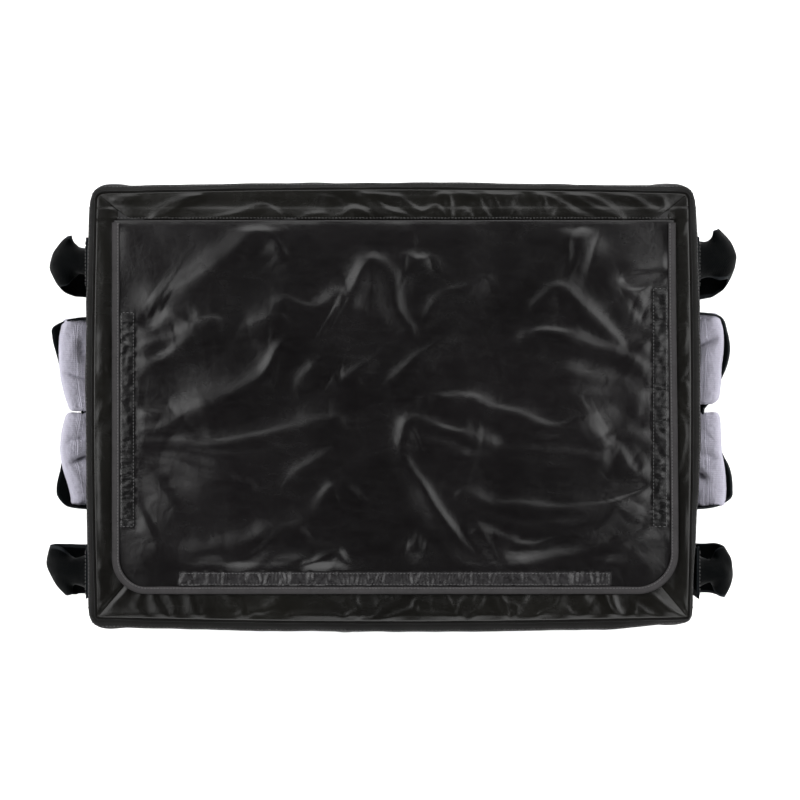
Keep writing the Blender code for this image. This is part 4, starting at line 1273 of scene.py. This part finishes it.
WALL = {}
for kind, seed in (("front", 101), ("back", 121), ("left", 141), ("right", 161)):
    base, grow, limits, shape, pins = wall_parts(kind, seed)
    n = 170 if kind in ("front", "back") else 120
    P = settle(base, ((n // 2, 40, 40), (n, 78, 40), (int(n * 1.8), 140, 18)), grow, limits, shape, pins, bend=0.5)
    outward = {"front": (1, -1.0), "back": (1, 1.0), "left": (0, -1.0), "right": (0, 1.0)}[kind]
    room = np.clip(limits(*np.meshgrid(np.linspace(0, 1, P.shape[0]), np.linspace(0, 1, P.shape[1]), indexing="ij"))[1] / 0.0036, 0, 1)
    run = P[..., 0] if kind in ("front", "back") else P[..., 1]
    P[..., outward[0]] += outward[1] * room * (fold_height(run, P[..., 2], WALL_FOLDS[kind], WALL_SIZE, seed, 0.006, 0.5) * smooth(0.264, 0.218, P[..., 2]) - 0.0007 * smooth(0.262, 0.210, P[..., 2]))
    if normals_of(P)[P.shape[0] // 2, 60, outward[0]] * outward[1] < 0:
        P = P[::-1]
    WALL[kind] = P
    long_ = 0.628 if kind in ("front", "back") else 0.415
    obj = cloth("wall_cloth_" + kind, P, 0.0012, M["wall"])
    finish_piece(obj, "root", ("shell_" + kind,))


# rows of stitches: below the top seam, above the bottom seam, and beside the seams at the corners
runs, high_runs = [], []
for kind, P in WALL.items():
    N = normals_of(P)
    for z_at, rows_ in ((0.2680, high_runs), (0.0150, runs)):
        j = int(np.argmin(np.abs(P[P.shape[0] // 2, :, 2] - z_at)))
        rows_.append((P[2:-2, j], N[2:-2, j]))
    if kind in ("left", "right"):
        inner = (P[..., 2].mean(0) > 0.0150) & (P[..., 2].mean(0) < 0.2700)
        for row in (4, -5):
            runs.append((P[row][inner], N[row][inner]))
wall_stitch = stitches("wall_stitching", runs, M["thread_grey"], pitch=0.0038, radius=0.0004)
finish_piece(wall_stitch, "root")
wall_top_stitch = stitches("wall_top_stitching", high_runs, M["thread_dark"], pitch=0.0038, radius=0.0004)
finish_piece(wall_top_stitch, "root")


def floor_base(U, V):
    s = 2 * U - 1
    x = s * (HALF_X - 0.0070)
    y = (2 * V - 1) * (side_y(x) - 0.0070)
    r = 0.012
    ex = np.maximum(np.abs(x) - (HALF_X - 0.0070 - r), 0)
    ymax = side_y(x) - 0.0070 - r + np.sqrt(np.maximum(r * r - ex * ex, 0))
    y = (2 * V - 1) * ymax
    return np.stack([x, y, 0.0026 + 0 * x], -1)


P = settle(
    floor_base, ((120, 86, 20), (240, 170, 12)), lambda U, V: (0.004 + 0 * U, 0.004 + 0 * U),
    lambda U, V: (np.full(U.shape, -0.0009), np.full(U.shape, 0.0005)),
    lambda U, V: 0.0007 * noise(U * 14, V * 10, 181), lambda U, V: (U <= 0) | (U >= 1) | (V <= 0) | (V >= 1), bend=0.5,
)
if normals_of(P)[30, 30, 2] > 0:
    P = P[::-1]
under = cloth("bottom_cloth", P, -0.0012, M["wall"])
finish_piece(under, "root", ("shell_bottom",))

# ====================================================================== webbing under the box and up its ends
def ribbon(name, centre, across, half, thick, mat, cols=9, crown=0.0, flip=False):
    """Webbing: centre points, a unit way across at each, half widths, closed with rounded selvedges."""
    s = np.linspace(-1, 1, cols)
    P = centre[:, None, :] + across[:, None, :] * (s[None, :, None] * np.asarray(half).reshape(-1, 1, 1))
    N = normals_of(P)
    P = P + N * (crown * (1 - s ** 2))[None, :, None]
    edge = thick * (0.55 + 0.45 * np.sqrt(np.maximum(1 - np.abs(s) ** 8, 0)))
    P = P + N * (edge / 2)[None, :, None]
    return cloth(name, P, np.tile(edge, (len(centre), 1)), mat, flip=flip), P


def strap_path():
    right = [(0.0, 0.0010), (0.15, 0.0010), (0.2700, 0.0010), (0.2970, 0.0011), (0.3045, 0.0030), (0.3082, 0.0085), (0.3094, 0.0200),
             (0.3096, 0.0800), (0.3096, 0.1600), (0.3092, 0.2450)]
    full = [(-x, z) for x, z in right[:0:-1]] + right
    return spline(full, 420)


for where, y in STRAP_Y.items():
    path = strap_path()
    path[:, 1] = np.maximum(path[:, 1], 0.0010)
    centre = np.stack([path[:, 0], np.full(len(path), y), path[:, 1]], 1)
    centre[:, 1] += 0.0006 * noise(np.arange(len(path)) * 0.03, np.zeros(len(path)), 191)
    across = np.tile((0.0, 1.0, 0.0), (len(path), 1))
    obj, P = ribbon("base_strap_" + where, centre, across, 0.0254, 0.0018, M["webbing"], cols=7, flip=False)
    if normals_of(P)[len(path) // 2, 3, 2] > 0:
        bpy.data.objects.remove(obj, do_unlink=True)
        obj, P = ribbon("base_strap_" + where, centre[::-1], across, 0.0254, 0.0018, M["webbing"], cols=7)
    finish_piece(obj, "root", ("load_strap_" + where,))

# ====================================================================== lift loops
LOOP_X = 0.3110


def loop_grid(w, y0, skews, pinch, seed, bow, bow_at, out_scale=1.0, pinch_at=0.745):
    """The webbing goes down the wall, out and back up round to the wall. Its upper ply is pinched, its outer bend bows out."""
    shape = (
        (0.0000, 0.1270), (0.0000, 0.1440), (0.0085, 0.1510), (0.0240, 0.1560), (0.0360, 0.1660), (0.0410, 0.1810),
        (0.0400, 0.1960), (0.0320, 0.2075), (0.0190, 0.2140), (0.0075, 0.2190), (0.0000, 0.2265), (0.0000, 0.2430),
    )
    path = spline(shape, 110)
    path[:, 0] = np.maximum(path[:, 0] * out_scale, 0)
    t = np.linspace(0, 1, 110)
    s = np.linspace(-1, 1, 29)
    T, S = np.meshgrid(t, s, indexing="ij")
    out = np.repeat(path[:, :1], 29, 1)
    z = np.repeat(path[:, 1:2], 29, 1)
    p = pinch * np.exp(-((T - pinch_at) / 0.115) ** 2) + 0.12 * np.exp(-((T - 0.20) / 0.10) ** 2)
    angle = 2.25 * p + 1e-3
    half = 0.0262
    R = half / angle
    yy = R * np.sin(angle * S)
    drop = R * (1 - np.cos(angle * S))
    # the fold goes towards the inside of the loop
    d = np.gradient(path, axis=0)
    d /= np.linalg.norm(d, axis=1, keepdims=True)
    inward = np.stack([-d[:, 1], d[:, 0]], 1)
    out = out + inward[:, :1] * drop
    z = z + inward[:, 1:2] * drop
    free = smooth(0.002, 0.018, out)
    low, mid, high = skews
    skew = np.interp(T, (0.0, 0.14, 0.28, 0.50, 0.72, 0.84, 1.0), (0.0, low * 0.9, low * 0.55, mid, high, high * 0.4, 0.0))
    skew = 0.5 * skew + 0.5 * np.interp(T - 0.03, (0.0, 0.14, 0.28, 0.50, 0.72, 0.84, 1.0), (0.0, low * 0.9, low * 0.55, mid, high, high * 0.4, 0.0))
    out = out * (1 - bow * (S - bow_at) ** 2 * smooth(0.012, 0.034, out))
    y = y0 + yy + skew + 0.0009 * noise(T * 7, S * 1.5, seed)
    out = out + 0.0010 * noise(T * 6, S * 2 + 5, seed + 1) * free
    z = z + 0.0012 * noise(T * 5, S * 1.6 + 9, seed + 2) * free
    out = np.maximum(out, 0.0002)
    return np.stack([w * (LOOP_X + out), y, z], -1)


LOOPS = (
    ("back_left", -1.0, "back", (-0.0070, 0.0035, 0.0060), 0.86, 201, 0.33, -0.12, 1.04, 0.79),
    ("back_right", 1.0, "back", (-0.0095, 0.0130, 0.0075), 0.62, 211, 0.30, -0.20, 1.06, 0.78),
    ("front_left", -1.0, "front", (-0.0010, -0.0005, 0.0000), 0.84, 221, 0.22, 0.40, 1.12, 0.76),
    ("front_right", 1.0, "front", (0.0000, -0.0020, 0.0000), 0.98, 231, 0.21, 0.0, 0.98, 0.75),
)
for name, w, where, skews, pinch, seed, bow, bow_at, scale, at in LOOPS:
    G = loop_grid(w, STRAP_Y[where], skews, pinch, seed, bow, bow_at, scale, at)
    if normals_of(G)[55, 14, 0] * w < 0:
        G = G[:, ::-1]
    edge = 0.0017 * (0.6 + 0.4 * np.sqrt(np.maximum(1 - np.abs(np.linspace(-1, 1, 29)) ** 8, 0)))
    obj = cloth("lift_loop_webbing_" + name, G, np.tile(edge, (110, 1)), M["webbing_loop"])
    finish_piece(obj, "root", ("lift_loop_" + name,))

# box stitches over the loops' ends
runs = []
for w in (-1.0, 1.0):
    for where in ("back", "front"):
        y0 = STRAP_Y[where]
        for z0, z1 in ((0.1285, 0.1425), (0.2285, 0.2415)):
            x = w * (LOOP_X + 0.00045)
            c = [(y0 - 0.022, z0), (y0 + 0.022, z0), (y0 + 0.022, z1), (y0 - 0.022, z1), (y0 - 0.022, z0), (y0 + 0.022, z1)]
            for (ya, za), (yb, zb) in zip(c, c[1:]):
                pts = np.stack([np.full(12, x), np.linspace(ya, yb, 12), np.linspace(za, zb, 12)], 1)
                runs.append((pts, np.tile((w, 0, 0), (12, 1))))
            pts = np.stack([np.full(12, x), np.linspace(y0 - 0.022, y0 + 0.022, 12), np.linspace(z1, z0, 12)], 1)
            runs.append((pts, np.tile((w, 0, 0), (12, 1))))
loop_stitch = stitches("loop_box_stitching", runs, M["thread_grey"], pitch=0.0036, radius=0.0004)
finish_piece(loop_stitch, "root")

# ====================================================================== grab handles
# Each pad, from its inner end to its outer end: where it starts and stops along the box, how far its outer edge stands off
# the wall, how far the webbing's upper edge stands off it, and its creases (place along, place across, depth, length, width).
LEAN = math.radians(50)
T_PAD = (0.0, 0.06, 0.2, 0.4, 0.6, 0.8, 0.94, 1.0)
PADS = {
    ("left", "back"): (-0.0050, 0.0885, (23.5, 25.5, 29.5, 33.0, 34.3, 33.8, 31.5, 30.0), (19.0, 22.0, 27.0, 31.0, 35.2, 39.5, 38.0, 32.0),
                       ((0.66, -0.55, 0.0060, 0.14, 0.24), (0.36, -0.10, 0.0022, 0.030, 0.9))),
    ("left", "front"): (-0.0085, -0.1020, (26.0, 28.5, 31.5, 33.0, 30.5, 25.0, 22.5, 22.5), (19.0, 22.0, 26.0, 29.0, 31.5, 35.0, 33.0, 28.0),
                        ((0.49, -0.50, 0.0075, 0.040, 0.42), (0.26, -0.2, 0.0020, 0.04, 0.5))),
    ("right", "back"): (0.0020, 0.0945, (22.0, 26.5, 28.5, 29.3, 31.3, 31.0, 28.0, 25.5), (16.0, 19.0, 25.0, 33.0, 36.5, 34.0, 29.0, 23.0),
                        ((0.66, -0.35, 0.0045, 0.045, 0.55), (0.56, -0.8, 0.0040, 0.10, 0.22))),
    ("right", "front"): (-0.0082, -0.1035, (26.0, 27.8, 28.8, 29.5, 32.5, 33.8, 33.2, 32.0), (17.0, 20.0, 24.0, 28.0, 36.5, 39.0, 37.0, 33.0),
                         ((0.66, -0.75, 0.0095, 0.055, 0.26), (0.46, 0.1, 0.0018, 0.05, 0.7))),
}
FAR_Y = {("left", "back"): 0.0903, ("left", "front"): -0.1062, ("right", "back"): 0.0952, ("right", "front"): -0.1062}


def pad_rows(side, where, count):
    """Along the pad: its place from 0 to 1, y, its outer edge, and the webbing's upper edge."""
    y0, y1, edge, web, _ = PADS[side, where]
    t = np.linspace(0, 1, count)
    k = spline(np.stack([T_PAD, np.array(edge) / 1000, np.array(web) / 1000], 1), 200)
    E = np.interp(t, k[:, 0], k[:, 1])
    W = np.interp(t, k[:, 0], k[:, 2])
    return t, y0 + (y1 - y0) * t, E, W


for side, w in (("left", -1.0), ("right", 1.0)):
    halves = []
    s = np.linspace(-1, 1, 13)
    for where, turn in (("back", 1.0), ("front", -1.0)):
        t, y, E, W = pad_rows(side, where, 12)
        far_y = FAR_Y[side, where]
        rows = [(HANDLE_Y, 0.0054, 0.0140, 0.36, -0.0090), (HANDLE_Y + turn * 0.0040, 0.0058, 0.0140, 0.38, -0.0090), (HANDLE_Y + turn * 0.0090, 0.0080, 0.0145, 0.50, -0.0080)]
        for k in range(2, 11):
            half = 0.0155 + 0.0045 * float(smooth(0.30, 0.62, t[k]))
            mid = 0.5 * E[k] + 0.0052
            top = mid + half * math.sin(LEAN)
            want = W[k]
            slide = (top - want) / math.sin(LEAN)
            rows.append((y[k], max(mid - slide * math.sin(LEAN), half * math.sin(LEAN) + 0.0008), half, LEAN, -slide * math.cos(LEAN)))
        rows += [(far_y - turn * 0.0035, 0.0150, 0.0180, 0.62, 0.0), (far_y - turn * 0.0008, 0.0080, 0.0170, 0.30, 0.0), (far_y, 0.0010, 0.0170, 0.0, 0.0)]
        r = spline(rows, 110)
        r[:, 1] = np.maximum(r[:, 1], 0.0008)
        a = r[:, 3:4]
        out = r[:, 1:2] + s[None, :] * r[:, 2:3] * np.sin(a)
        z = s[None, :] * r[:, 2:3] * np.cos(a) - 0.0050 * np.sin(a) + r[:, 4:5]
        yy = r[:, 0:1] + 0 * out
        G = np.stack([w * (HANDLE_FACE + np.maximum(out, 0.0006)), yy, HANDLE_Z + z], -1)
        halves.append(G[::-1] if turn > 0 else G)
    G = np.concatenate([halves[0], halves[1][1:]], 0)
    if normals_of(G)[30, 6, 0] * w < 0:
        G = G[:, ::-1]
    webbing = cloth("handle_strap_" + side, G + normals_of(G) * 0.0008, 0.0017, M["webbing_handle"])
    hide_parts("handle_%s_webbing" % side)
    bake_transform(webbing)

    for where, turn in (("back", 1.0), ("front", -1.0)):
        creases = PADS[side, where][4]
        nu, nv = 110, 60
        t, y, E, W = pad_rows(side, where, nu)
        q = np.linspace(0, 2 * math.pi, nv, endpoint=False)
        cs = np.sign(np.cos(q)) * np.abs(np.cos(q)) ** 0.62
        sn = np.sign(np.sin(q)) * np.abs(np.sin(q)) ** 0.72
        near_end = np.clip(np.minimum(t, 1 - t) / 0.045, 0, 1)
        roll = np.sqrt(1 - (1 - near_end) ** 2)
        thick = 0.0060 * (0.62 + 0.38 * roll)
        half = ((E - 0.0008) / 2 - 0.0048 * math.cos(LEAN)) / math.sin(LEAN) * 1.05
        half = np.clip(half, 0.0080, 0.0195) * (0.94 + 0.06 * roll)
        T, Sn = np.meshgrid(t, sn, indexing="ij")
        Cs = np.repeat(cs[None, :], nu, 0)
        depth = thick[:, None] * Cs
        face = np.clip(Cs, 0, 1)
        for at, across_at, deep, long_, wide in creases:
            slant = T - at - 0.05 * (Sn - across_at)
            depth = depth - deep * face * np.exp(-(slant / long_) ** 2) * np.exp(-((Sn - across_at) / (wide * 2)) ** 2)
        depth = depth + 0.0009 * face * noise(T * 7, Sn * 1.3, 301 + int(w) + int(turn) * 3) + 0.0004 * noise(T * 24, Sn * 4, 305)
        across = Sn * half[:, None]
        centre = (E + 0.0012)[:, None] / 2
        out = centre + across * math.sin(LEAN) - depth * math.cos(LEAN)
        z = across * math.cos(LEAN) + depth * math.sin(LEAN)
        out = np.where(out < 0.0030, 0.0012 + 0.0018 * np.exp((out - 0.0030) / 0.0030), out)
        ragged = 0.0014 * noise(Sn * 1.6 + 5, T * 0 + (3 if turn > 0 else 8), 321 + int(w)) * (smooth(0.12, 0.0, T) + smooth(0.88, 1.0, T))
        G = np.stack([w * (HANDLE_FACE + out), y[:, None] + 0 * out + ragged, HANDLE_Z + z], -1)
        idx = np.arange(nu * nv).reshape(nu, nv)
        A, B = idx[:-1], idx[1:]
        faces = [np.stack([A, B, np.roll(B, -1, 1), np.roll(A, -1, 1)], -1).reshape(-1, 4)]
        verts = [G.reshape(-1, 3)]
        uv = [np.stack(np.meshgrid(t * 0.094, np.linspace(0, 0.11, nv), indexing="ij"), -1).reshape(-1, 2)]
        count = nu * nv
        for row, step in ((0, -turn), (nu - 1, turn)):
            centre_ = G[row].mean(0)
            prev = idx[row]
            for k, (f, push) in enumerate(((0.90, 0.0005), (0.70, 0.0009), (0.40, 0.0007), (0.12, 0.0004))):
                ring = centre_ + (G[row] - centre_) * f + np.array((0.0, step * push, 0.0))
                now = count + np.arange(nv)
                verts.append(ring)
                uv.append(np.stack([np.full(nv, 0.094 if row else 0.0) + (k + 1) * 0.002, np.linspace(0, 0.11, nv)], -1))
                faces.append(np.stack([prev, np.roll(prev, -1), np.roll(now, -1), now], -1))
                prev, count = now, count + nv
            verts.append(ring.mean(0)[None])
            uv.append(np.array([[0.0, 0.0]]))
            faces.append(np.stack([prev, np.roll(prev, -1), np.full(nv, count), np.full(nv, count)], -1))
            count += 1
        name = "handle_pad_%s_%s" % (side, where)
        mesh = bpy.data.meshes.new(name)
        clean = [tuple(dict.fromkeys(int(v) for v in f)) for f in np.concatenate(faces)]
        mesh.from_pydata([tuple(v) for v in np.concatenate(verts)], [], clean)
        layer = mesh.uv_layers.new(name="UVMap")
        layer.data.foreach_set("uv", np.concatenate(uv)[[v for f in clean for v in f]].astype(np.float32).ravel())
        bm = bmesh.new()
        bm.from_mesh(mesh)
        bmesh.ops.recalc_face_normals(bm, faces=bm.faces)
        bm.to_mesh(mesh)
        bm.free()
        mesh.shade_smooth()
        pad = bpy.data.objects.new(name, mesh)
        bpy.context.scene.collection.objects.link(pad)
        mesh.materials.append(M["knit"])
        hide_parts("handle_%s_pad_%s" % (side, where))
        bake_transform(pad)

    # the strap it is sewn to
    y = np.linspace(-0.1165, 0.1005, 120)
    centre = np.stack([w * (end_x(y) + 0.0034), y, np.full(120, HANDLE_Z)], 1)
    across = np.tile((0.0, 0.0, 1.0), (120, 1))
    obj, P = ribbon("handle_base_strap_" + side, centre, across, 0.0220, 0.0016, M["webbing"], cols=7)
    if normals_of(P)[60, 3, 0] * w < 0:
        bpy.data.objects.remove(obj, do_unlink=True)
        obj, P = ribbon("handle_base_strap_" + side, centre[::-1], across, 0.0220, 0.0016, M["webbing"], cols=7)
    finish_piece(obj, "root", ("handle_%s_base" % side,))

# ====================================================================== inside
def tub_walls():
    x0, y0 = 0.2748, 0.1910
    r = 0.010
    pts = []
    for cx, cy, a0 in ((x0 - r, y0 - r, 0), (-x0 + r, y0 - r, 90), (-x0 + r, -y0 + r, 180), (x0 - r, -y0 + r, 270)):
        for a in np.radians(np.linspace(a0, a0 + 90, 8)):
            pts.append((cx + r * math.cos(a), cy + r * math.sin(a)))
    pts = np.array(pts)
    closed = np.vstack([pts, pts[:1]])
    run = np.concatenate([[0], np.cumsum(np.linalg.norm(np.diff(closed, axis=0), axis=1))])
    at = np.linspace(0, run[-1], 420, endpoint=False)
    c = np.stack([np.interp(at, run, closed[:, k]) for k in (0, 1)], 1)
    d = np.roll(c, -1, 0) - np.roll(c, 1, 0)
    d /= np.linalg.norm(d, axis=1, keepdims=True)
    inward = np.stack([-d[:, 1], d[:, 0]], 1)
    z = np.linspace(0.0290, 0.2646, 70)
    T, Z = np.meshgrid(at, z, indexing="ij")
    fall = smooth(0.029, 0.05, Z) * smooth(0.2646, 0.235, Z)
    puff = 0.0010 + 0.0012 * noise(T * 9, Z * 12, 401) + 0.0007 * noise(T * 26 + Z * 8, Z * 22, 402)
    puff = puff * fall
    return np.stack([c[:, :1] + inward[:, :1] * puff, c[:, 1:2] + inward[:, 1:2] * puff, Z], -1)


G = tub_walls()
if (normals_of(G)[5, 30, :2] @ G[5, 30, :2]) > 0:
    G = G[:, ::-1]
tub = cloth("liner_walls", G, 0.0006, M["liner"], wrap=True)
U, V = np.meshgrid(np.linspace(0, 1, 150), np.linspace(0, 1, 110), indexing="ij")
x, y = (2 * U - 1) * 0.2745, (2 * V - 1) * 0.1907
z = 0.0286 + 0.0010 * smooth(0, 0.05, np.minimum(np.minimum(U, 1 - U), np.minimum(V, 1 - V))) + 0.0004 * noise(x * 14, y * 14, 411)
floor_grid = np.stack([x, y, z], -1)
tub_floor = cloth("liner_floor", floor_grid, 0.0006, M["liner"])
finish_piece(tub, "root", ("inner_liner",))
finish_piece(tub_floor, "root", ())


def rounded_ring(x, y0, y1, r, count):
    pts = []
    for cx, cy, a0 in ((x - r, y1 - r, 0), (-x + r, y1 - r, 90), (-x + r, y0 + r, 180), (x - r, y0 + r, 270)):
        for a in np.radians(np.linspace(a0, a0 + 90, 9)):
            pts.append((cx + r * math.cos(a), cy + r * math.sin(a)))
    pts = np.array(pts)
    closed = np.vstack([pts, pts[:1]])
    run = np.concatenate([[0], np.cumsum(np.linalg.norm(np.diff(closed, axis=0), axis=1))])
    at = np.linspace(0, run[-1], count, endpoint=False)
    c = np.stack([np.interp(at, run, closed[:, k]) for k in (0, 1)], 1)
    d = np.roll(c, -1, 0) - np.roll(c, 1, 0)
    d /= np.linalg.norm(d, axis=1, keepdims=True)
    return c, np.stack([d[:, 1], -d[:, 0]], 1), at


# the edge of the mouth: tape folded over the frame's cloth and its lining
c, out_n, at = rounded_ring(MOUTH_X - 0.0004, MOUTH_Y0 + 0.0004, MOUTH_Y1 - 0.0004, 0.006, 460)
section = ((0.0085, 0.28045), (0.0030, 0.28060), (0.0004, 0.28020), (-0.0003, 0.2790), (-0.0003, 0.2720), (-0.0003, 0.2665), (0.0006, 0.2652), (0.0060, 0.2650))
G = np.stack([
    np.stack([c[:, 0] + out_n[:, 0] * (n + 0.0003 * noise(at * 40, at * 0 + k, 421)), c[:, 1] + out_n[:, 1] * (n + 0.0003 * noise(at * 40, at * 0 + k, 421)), z + 0 * at], 1)
    for k, (n, z) in enumerate(section)], 1)
if (normals_of(G)[5, 4, :2] @ G[5, 4, :2]) > 0:
    G = G[:, ::-1]
edge_tape = cloth("mouth_edge_tape", G, 0.0005, M["seam"], wrap=True)
finish_piece(edge_tape, "root", ("mouth_binding",))

# lining under the frame
c1, n1, _ = rounded_ring(0.2885, -0.2055, 0.2055, 0.006, 300)
c2, n2, _ = rounded_ring(MOUTH_X, MOUTH_Y0, MOUTH_Y1, 0.006, 300)
t = np.linspace(0, 1, 10)[None, :, None]
G = c1[:, None] * (1 - t) + c2[:, None] * t
G = np.concatenate([G, np.full((300, 10, 1), 0.2655)], 2)
G[..., 2] += 0.0002 * noise(G[..., 0] * 40, G[..., 1] * 40, 431)
if normals_of(G)[5, 4, 2] > 0:
    G = G[:, ::-1]
frame_lining = cloth("frame_lining", G, 0.0005, M["lid_lining"], wrap=True)
finish_piece(frame_lining, "root", ("rim_liner",))

# the lid's lining: a shallow pillow over the foam plug
lo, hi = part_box("lid_liner")


def lid_lining():
    c, out_n, at = rounded_ring(hi.x, lo.y, hi.y, 0.0042, 520)
    centre = np.array((0.0, (lo.y + hi.y) / 2))
    levels = [(1.0, 0.2822), (1.0, 0.2790), (1.0, 0.2740), (0.998, 0.2706), (0.992, 0.2692), (0.982, 0.2687), (0.96, 0.2685), (0.9, 0.2684), (0.8, 0.2684),
              (0.65, 0.2684), (0.5, 0.2684), (0.35, 0.2684), (0.2, 0.2684), (0.08, 0.2684), (0.004, 0.2684)]
    rows = []
    for k, (f, z) in enumerate(levels):
        q = centre + (c - centre) * f
        hang = 0.0009 + 0.0012 * noise(q[:, 0] * 11, q[:, 1] * 11, 441) + 0.0004 * noise(q[:, 0] * 34, q[:, 1] * 34, 442)
        hang = hang.clip(0, None) + 0.0012 * (1 - np.abs(noise(q[:, 0] * 6 + q[:, 1] * 5, q[:, 1] * 16, 443)) * 3).clip(0, 1)
        rows.append(np.stack([q[:, 0], q[:, 1], z + 0.0004 - hang * min(1, max(0, k - 3) / 4)], 1))
    return np.stack(rows, 1)


G = lid_lining()
dense = resample(np.concatenate([G, G[:1]], 0), 521, 92)[:-1]
if normals_of(dense)[5, 50, 2] > 0:
    dense = dense[:, ::-1]
lid_lining_obj = cloth("lid_lining", dense, 0.0005, M["lid_lining"], wrap=True)
finish_piece(lid_lining_obj, "lid", ("lid_liner",))

# ====================================================================== closing tapes
def strip(name, node, mat, body, up):
    lo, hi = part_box(node)
    nu, nv = (max(8, int((hi.x - lo.x) / 0.003)), max(6, int((hi.y - lo.y) / 0.003)))
    U, V = np.meshgrid(np.linspace(0, 1, nu), np.linspace(0, 1, nv), indexing="ij")
    x, y = lo.x + (hi.x - lo.x) * U, lo.y + (hi.y - lo.y) * V
    edge = np.minimum(np.minimum(U, 1 - U) * (hi.x - lo.x), np.minimum(V, 1 - V) * (hi.y - lo.y))
    lift = 0.00012 * noise(x * 120, y * 120, 451) - 0.00025 * smooth(0.0012, 0.0, edge)
    z = (hi.z + lift) if up else (lo.z - lift)
    G = np.stack([x, y, z], -1)
    if (normals_of(G)[2, 2, 2] > 0) != up:
        G = G[::-1]
    obj = cloth(name, G, 0.0009, mat)
    finish_piece(obj, body, (node,))
    return obj


for side in ("left", "right", "front"):
    strip("loop_strip_" + side, "rim_loop_tape_" + side, M["loop"], "root", True)
    strip("hook_strip_" + side, "lid_hook_tape_" + side, M["hook"], "lid", False)
strip("hinge_tape", "hinge_strip", M["seam"], "root", True)

# hinge seam stitches, on the frame side
runs = []
for off in (0.0042, 0.0088):
    xs = np.linspace(FLAP_L + 0.003, FLAP_R - 0.004, 400)
    P = RIM["back"]
    ys = HINGE.y + off
    flat_ = P.reshape(-1, 3)
    near = np.abs(flat_[:, 1] - ys) < 0.003
    order = np.argsort(flat_[near][:, 0])
    zz = np.interp(xs, flat_[near][order][:, 0], flat_[near][order][:, 2])
    zz = np.convolve(np.pad(zz, 4, mode="edge"), np.ones(9) / 9, "valid")
    runs.append((np.stack([xs, np.full(400, ys), zz], 1), np.tile((0, 0, 1.0), (400, 1))))
hinge_stitch = stitches("hinge_stitching", runs[:1], M["thread"], pitch=0.0034)
finish_piece(hinge_stitch, "root")

# ====================================================================== nodes that stay as they are
for name, obj in NODES.items():
    kind = None
    if name.startswith(("foam_", "rim_foam")) or name == "lid_foam":
        kind = "foam"
    elif name == "base_board":
        kind = "board"
    if kind:
        if not obj.material_slots:
            obj.data.materials.append(M[kind])
        for k in range(len(obj.material_slots)):
            obj.material_slots[k].material = M[kind]

# ====================================================================== stage
def plane(name, half, z, mat):
    obj = mesh_object(name, [(-half, -half, z), (half, -half, z), (half, half, z), (-half, half, z)], [(0, 1, 2, 3)], None, mat)
    return obj


pf = Paint("pale_floor", roughness=1.0, specular=0.0)
pf.colour(pf.ramp(pf.noise(3, 2), ((0.3, (0.94, 0.94, 0.94)), (0.7, (0.96, 0.96, 0.96)))))
plane("floor", 14.0, -0.0002, pf.mat)


def softbox(name, where, aim, size, power, spread=3.14):
    data = bpy.data.lights.new(name, "AREA")
    data.shape = "RECTANGLE"
    data.size, data.size_y = size
    data.energy = power
    obj = bpy.data.objects.new(name, data)
    bpy.context.scene.collection.objects.link(obj)
    obj.location = where
    obj.rotation_mode = "QUATERNION"
    obj.rotation_quaternion = (Vector(aim) - Vector(where)).to_track_quat("-Z", "Y")
    obj.visible_camera = False
    return obj


softbox("soft_left", (-1.60, 0.35, 2.02), (0, 0, 0.25), (1.4, 2.0), 70)
softbox("soft_right", (1.62, 0.25, 2.02), (0, 0, 0.25), (1.4, 2.0), 66)
softbox("soft_back", (0.20, 1.80, 1.95), (0, 0, 0.25), (2.2, 1.3), 64)
softbox("soft_front", (-0.10, -1.84, 1.95), (0, 0, 0.25), (2.2, 1.3), 64)

world = bpy.data.worlds.new("studio")
bpy.context.scene.world = world
world.use_nodes = True
nt = world.node_tree
bg = nt.nodes["Background"]
tc = nt.nodes.new("ShaderNodeTexCoord")
sep = nt.nodes.new("ShaderNodeSeparateXYZ")
ramp = nt.nodes.new("ShaderNodeValToRGB")
nt.links.new(tc.outputs["Generated"], sep.inputs[0])
nt.links.new(sep.outputs[2], ramp.inputs[0])
ramp.color_ramp.elements[0].position = 0.0
ramp.color_ramp.elements[0].color = (0.42, 0.42, 0.43, 1)
ramp.color_ramp.elements[1].position = 0.75
ramp.color_ramp.elements[1].color = (0.05, 0.05, 0.052, 1)
nt.links.new(ramp.outputs[0], bg.inputs[0])
bg.inputs[1].default_value = 0.7
seen = nt.nodes.new("ShaderNodeBackground")
seen.inputs[0].default_value = (0.94, 0.94, 0.94, 1)
seen.inputs[1].default_value = 1.0
path = nt.nodes.new("ShaderNodeLightPath")
either = nt.nodes.new("ShaderNodeMixShader")
nt.links.new(path.outputs["Is Camera Ray"], either.inputs[0])
nt.links.new(bg.outputs[0], either.inputs[1])
nt.links.new(seen.outputs[0], either.inputs[2])
nt.links.new(either.outputs[0], nt.nodes["World Output"].inputs["Surface"])

cam_data = bpy.data.cameras.new("camera")
cam_data.lens, cam_data.sensor_width = 135, 36
cam = bpy.data.objects.new("camera", cam_data)
bpy.context.scene.collection.objects.link(cam)
cam.location = (0.0075, 0.0055, 0.2855 + 3.0)
cam.rotation_euler = (0, 0, 0)
bpy.context.scene.camera = cam
bpy.context.scene.view_settings.view_transform = "Standard"
bpy.context.scene.view_settings.look = "None"
